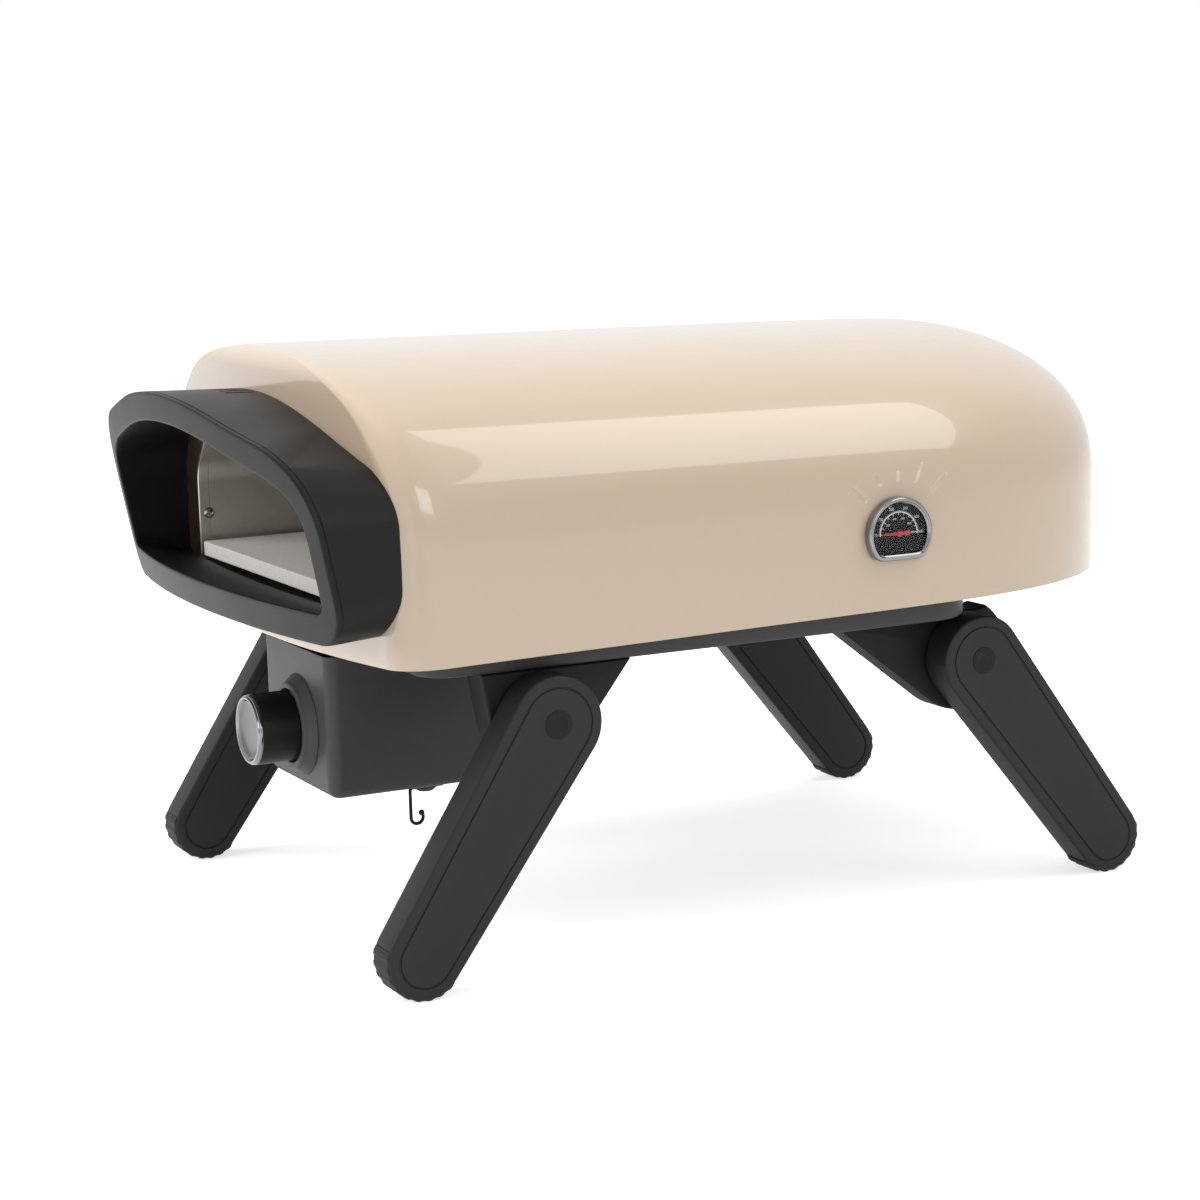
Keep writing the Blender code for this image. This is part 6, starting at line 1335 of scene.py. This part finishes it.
# %% Gas inlet
INLET = (BOX_MIDDLE, BOX_REAR_Y, 0.150)
NOSE, ROOT, BORE, PITCH, TURNS, HEX_REACH = 0.0065, 0.0060, 0.0030, 0.0012, 12, 0.0095
thread = [(0.0135 + PITCH * k + dy, r) for k in range(TURNS) for dy, r in ((0, ROOT), (0.0006, NOSE))]
nose = [(-0.006, 0.0), (-0.006, NOSE), (0.0120, NOSE)] + thread
nose += [(0.0280, ROOT), (0.0280, BORE), (0.0150, BORE), (0.0150, 0.0)]
dress(turned("gas_inlet_nose", "Y", INLET, nose, steps=48), brass, "oven", "brass", "gas_inlet")
hexagon = [(GAP, 0.0095), (GAP, 0.0104), (0.0009, 0.0110), (0.0114, 0.0110), (0.0120, 0.0104),
           (0.0120, 0.0095)]
hex_rings = turned_rings("Y", INLET, hexagon, 48)
spoke = hex_rings - INLET
around = np.arctan2(spoke[..., 0], spoke[..., 2])
flat_reach = HEX_REACH / np.cos((around + np.pi / 6) % (np.pi / 3) - np.pi / 6)
size = np.hypot(spoke[..., 0], spoke[..., 2])
limit = np.minimum(size, flat_reach) / size
hex_rings[..., 0] = INLET[0] + spoke[..., 0] * limit
hex_rings[..., 2] = INLET[2] + spoke[..., 2] * limit
dress(skin("gas_inlet_hexagon", hex_rings, sharp=25.0), brass, "oven", "brass")

# %% [markdown]
# ## Finishes for the parts that keep their frame shape
# The burner, its guard, the floor and the small inner parts are already right in shape. Each gets
# a finish by name. Assigning to the material slot leaves the mesh as it is.

# %% Carried-over parts
KEPT = (
    (steel, "liner_back", "stone_rest_left", "stone_rest_right", "burner_tube",
     "burner_bracket_left", "burner_bracket_right", "burner_guard", "mixing_tube"),
    (dark_steel, "chamber_floor", "mouth_baffle"), (wool, "insulation"),
    (satin_metal, "gas_pipe", "spindle_cap", "dial_stem", "dial_nut"),
    (brass, "gas_jet", "gas_valve", "valve_spindle"), (ceramic, "igniter_electrode"),
    (lead_sleeve, "igniter_lead"), (black_paint, "dial_case"))
for material, *names in KEPT:
    for name in names:
        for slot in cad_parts[name].material_slots:
            slot.material = material
print("finishes given to kept parts", len(KEPT))

# %% [markdown]
# ## Floor, world and lights
# A product picture is lit by large soft boxes in a white room. The camera sees white all round:
# the world and the floor are white for camera and transmission rays, a little less for glossy
# rays, and dimmer for the rest, so that the oven isn't lit from everywhere. Near the oven the
# floor gives off less of its own light, so that its shadow stays.


# %% Floor
FLOOR_GLOSSY, WORLD_GLOSSY, WORLD_LEVEL = 0.55, 0.90, 0.50


def seen_white(tree, glossy):
    """1 for camera and transmission rays, a share for glossy rays, and 0 for the rest."""
    ray = node(tree, "ShaderNodeLightPath").outputs
    shiny = maths(tree, "MULTIPLY", ray["Is Glossy Ray"], glossy)
    clear = maths(tree, "MAXIMUM", ray["Is Camera Ray"], ray["Is Transmission Ray"])
    return maths(tree, "MAXIMUM", clear, shiny)


FLOOR_HALF = 12.0
NEAR_REACH, FAR_REACH, NEAR_GLOW = 0.30, 0.90, 0.62
floor_mesh = bpy.data.meshes.new("studio_floor")
floor_mesh.from_pydata([(x * FLOOR_HALF, y * FLOOR_HALF, 0)
                        for x, y in ((-1, -1), (1, -1), (1, 1), (-1, 1))], [], [(0, 1, 2, 3)])
floor = new_object("studio_floor", floor_mesh)
paper, tree, shader = new_finish("studio_paper", Base_Color=(0.85, 0.85, 0.85, 1), Roughness=0.9,
                                 Specular_IOR_Level=0.0)
away = node(tree, "ShaderNodeVectorMath", {0: own_place(tree)}, operation="LENGTH")
far = node(tree, "ShaderNodeMapRange",
           {"Value": away.outputs["Value"], "From Min": NEAR_REACH, "From Max": FAR_REACH,
            "To Min": NEAR_GLOW, "To Max": 1.0})
glow = node(tree, "ShaderNodeEmission", {"Color": (1, 1, 1, 1), "Strength": maths(
    tree, "MULTIPLY", seen_white(tree, FLOOR_GLOSSY), far.outputs[0])})
both = node(tree, "ShaderNodeAddShader", {0: tree.nodes["Principled BSDF"].outputs[0],
                                          1: glow.outputs[0]})
tree.links.new(both.outputs[0], tree.nodes["Material Output"].inputs["Surface"])
floor_mesh.materials.append(paper)
print("floor ready")

# %% World
world = bpy.data.worlds.new("studio_world")
bpy.context.scene.world = world
world.use_nodes = True
tree = world.node_tree
background = tree.nodes["Background"].inputs
background["Color"].default_value = (1, 1, 1, 1)
level = maths(tree, "MAXIMUM", seen_white(tree, WORLD_GLOSSY), WORLD_LEVEL)
tree.links.new(level, background["Strength"])
print("world ready")


# %% Lights
def softbox(name, place, aim, width, height, power, in_reflections=True):
    """An area lamp at a place that faces a point. The camera doesn't see it, and a lamp that is
    kept out of reflections lights a surface without a bright streak on it."""
    data = bpy.data.lights.new(name, "AREA")
    data.shape, data.size, data.size_y, data.energy = "RECTANGLE", width, height, power
    lamp = new_object(name, data)
    facing = (Vector(aim) - Vector(place)).to_track_quat("-Z", "Y").to_matrix().to_4x4()
    lamp.matrix_world = Matrix.Translation(place) @ facing
    lamp.visible_camera, lamp.visible_glossy = False, in_reflections


softbox("shoulder_softbox", (0.80, 0.90, 1.70), (0.10, 0.90, 0.60), 0.90, 1.60, 10)
softbox("top_softbox", (-0.3, -0.3, 1.9), (0, 0, 0.3), 1.4, 1.2, 23, False)
softbox("side_softbox", (2.2, -0.2, 1.1), (0, 0, 0.25), 1.2, 0.8, 8)
softbox("front_softbox", (-0.4, -1.5, 0.8), (0, -0.2, 0.25), 0.9, 0.7, 12, False)
softbox("corner_softbox", (0.65, -1.35, 0.27), (0.1, -0.2, 0.25), 1.2, 0.5, 0.8)
bpy.context.scene.view_settings.view_transform = "Standard"
print("lights", len(bpy.data.lights))
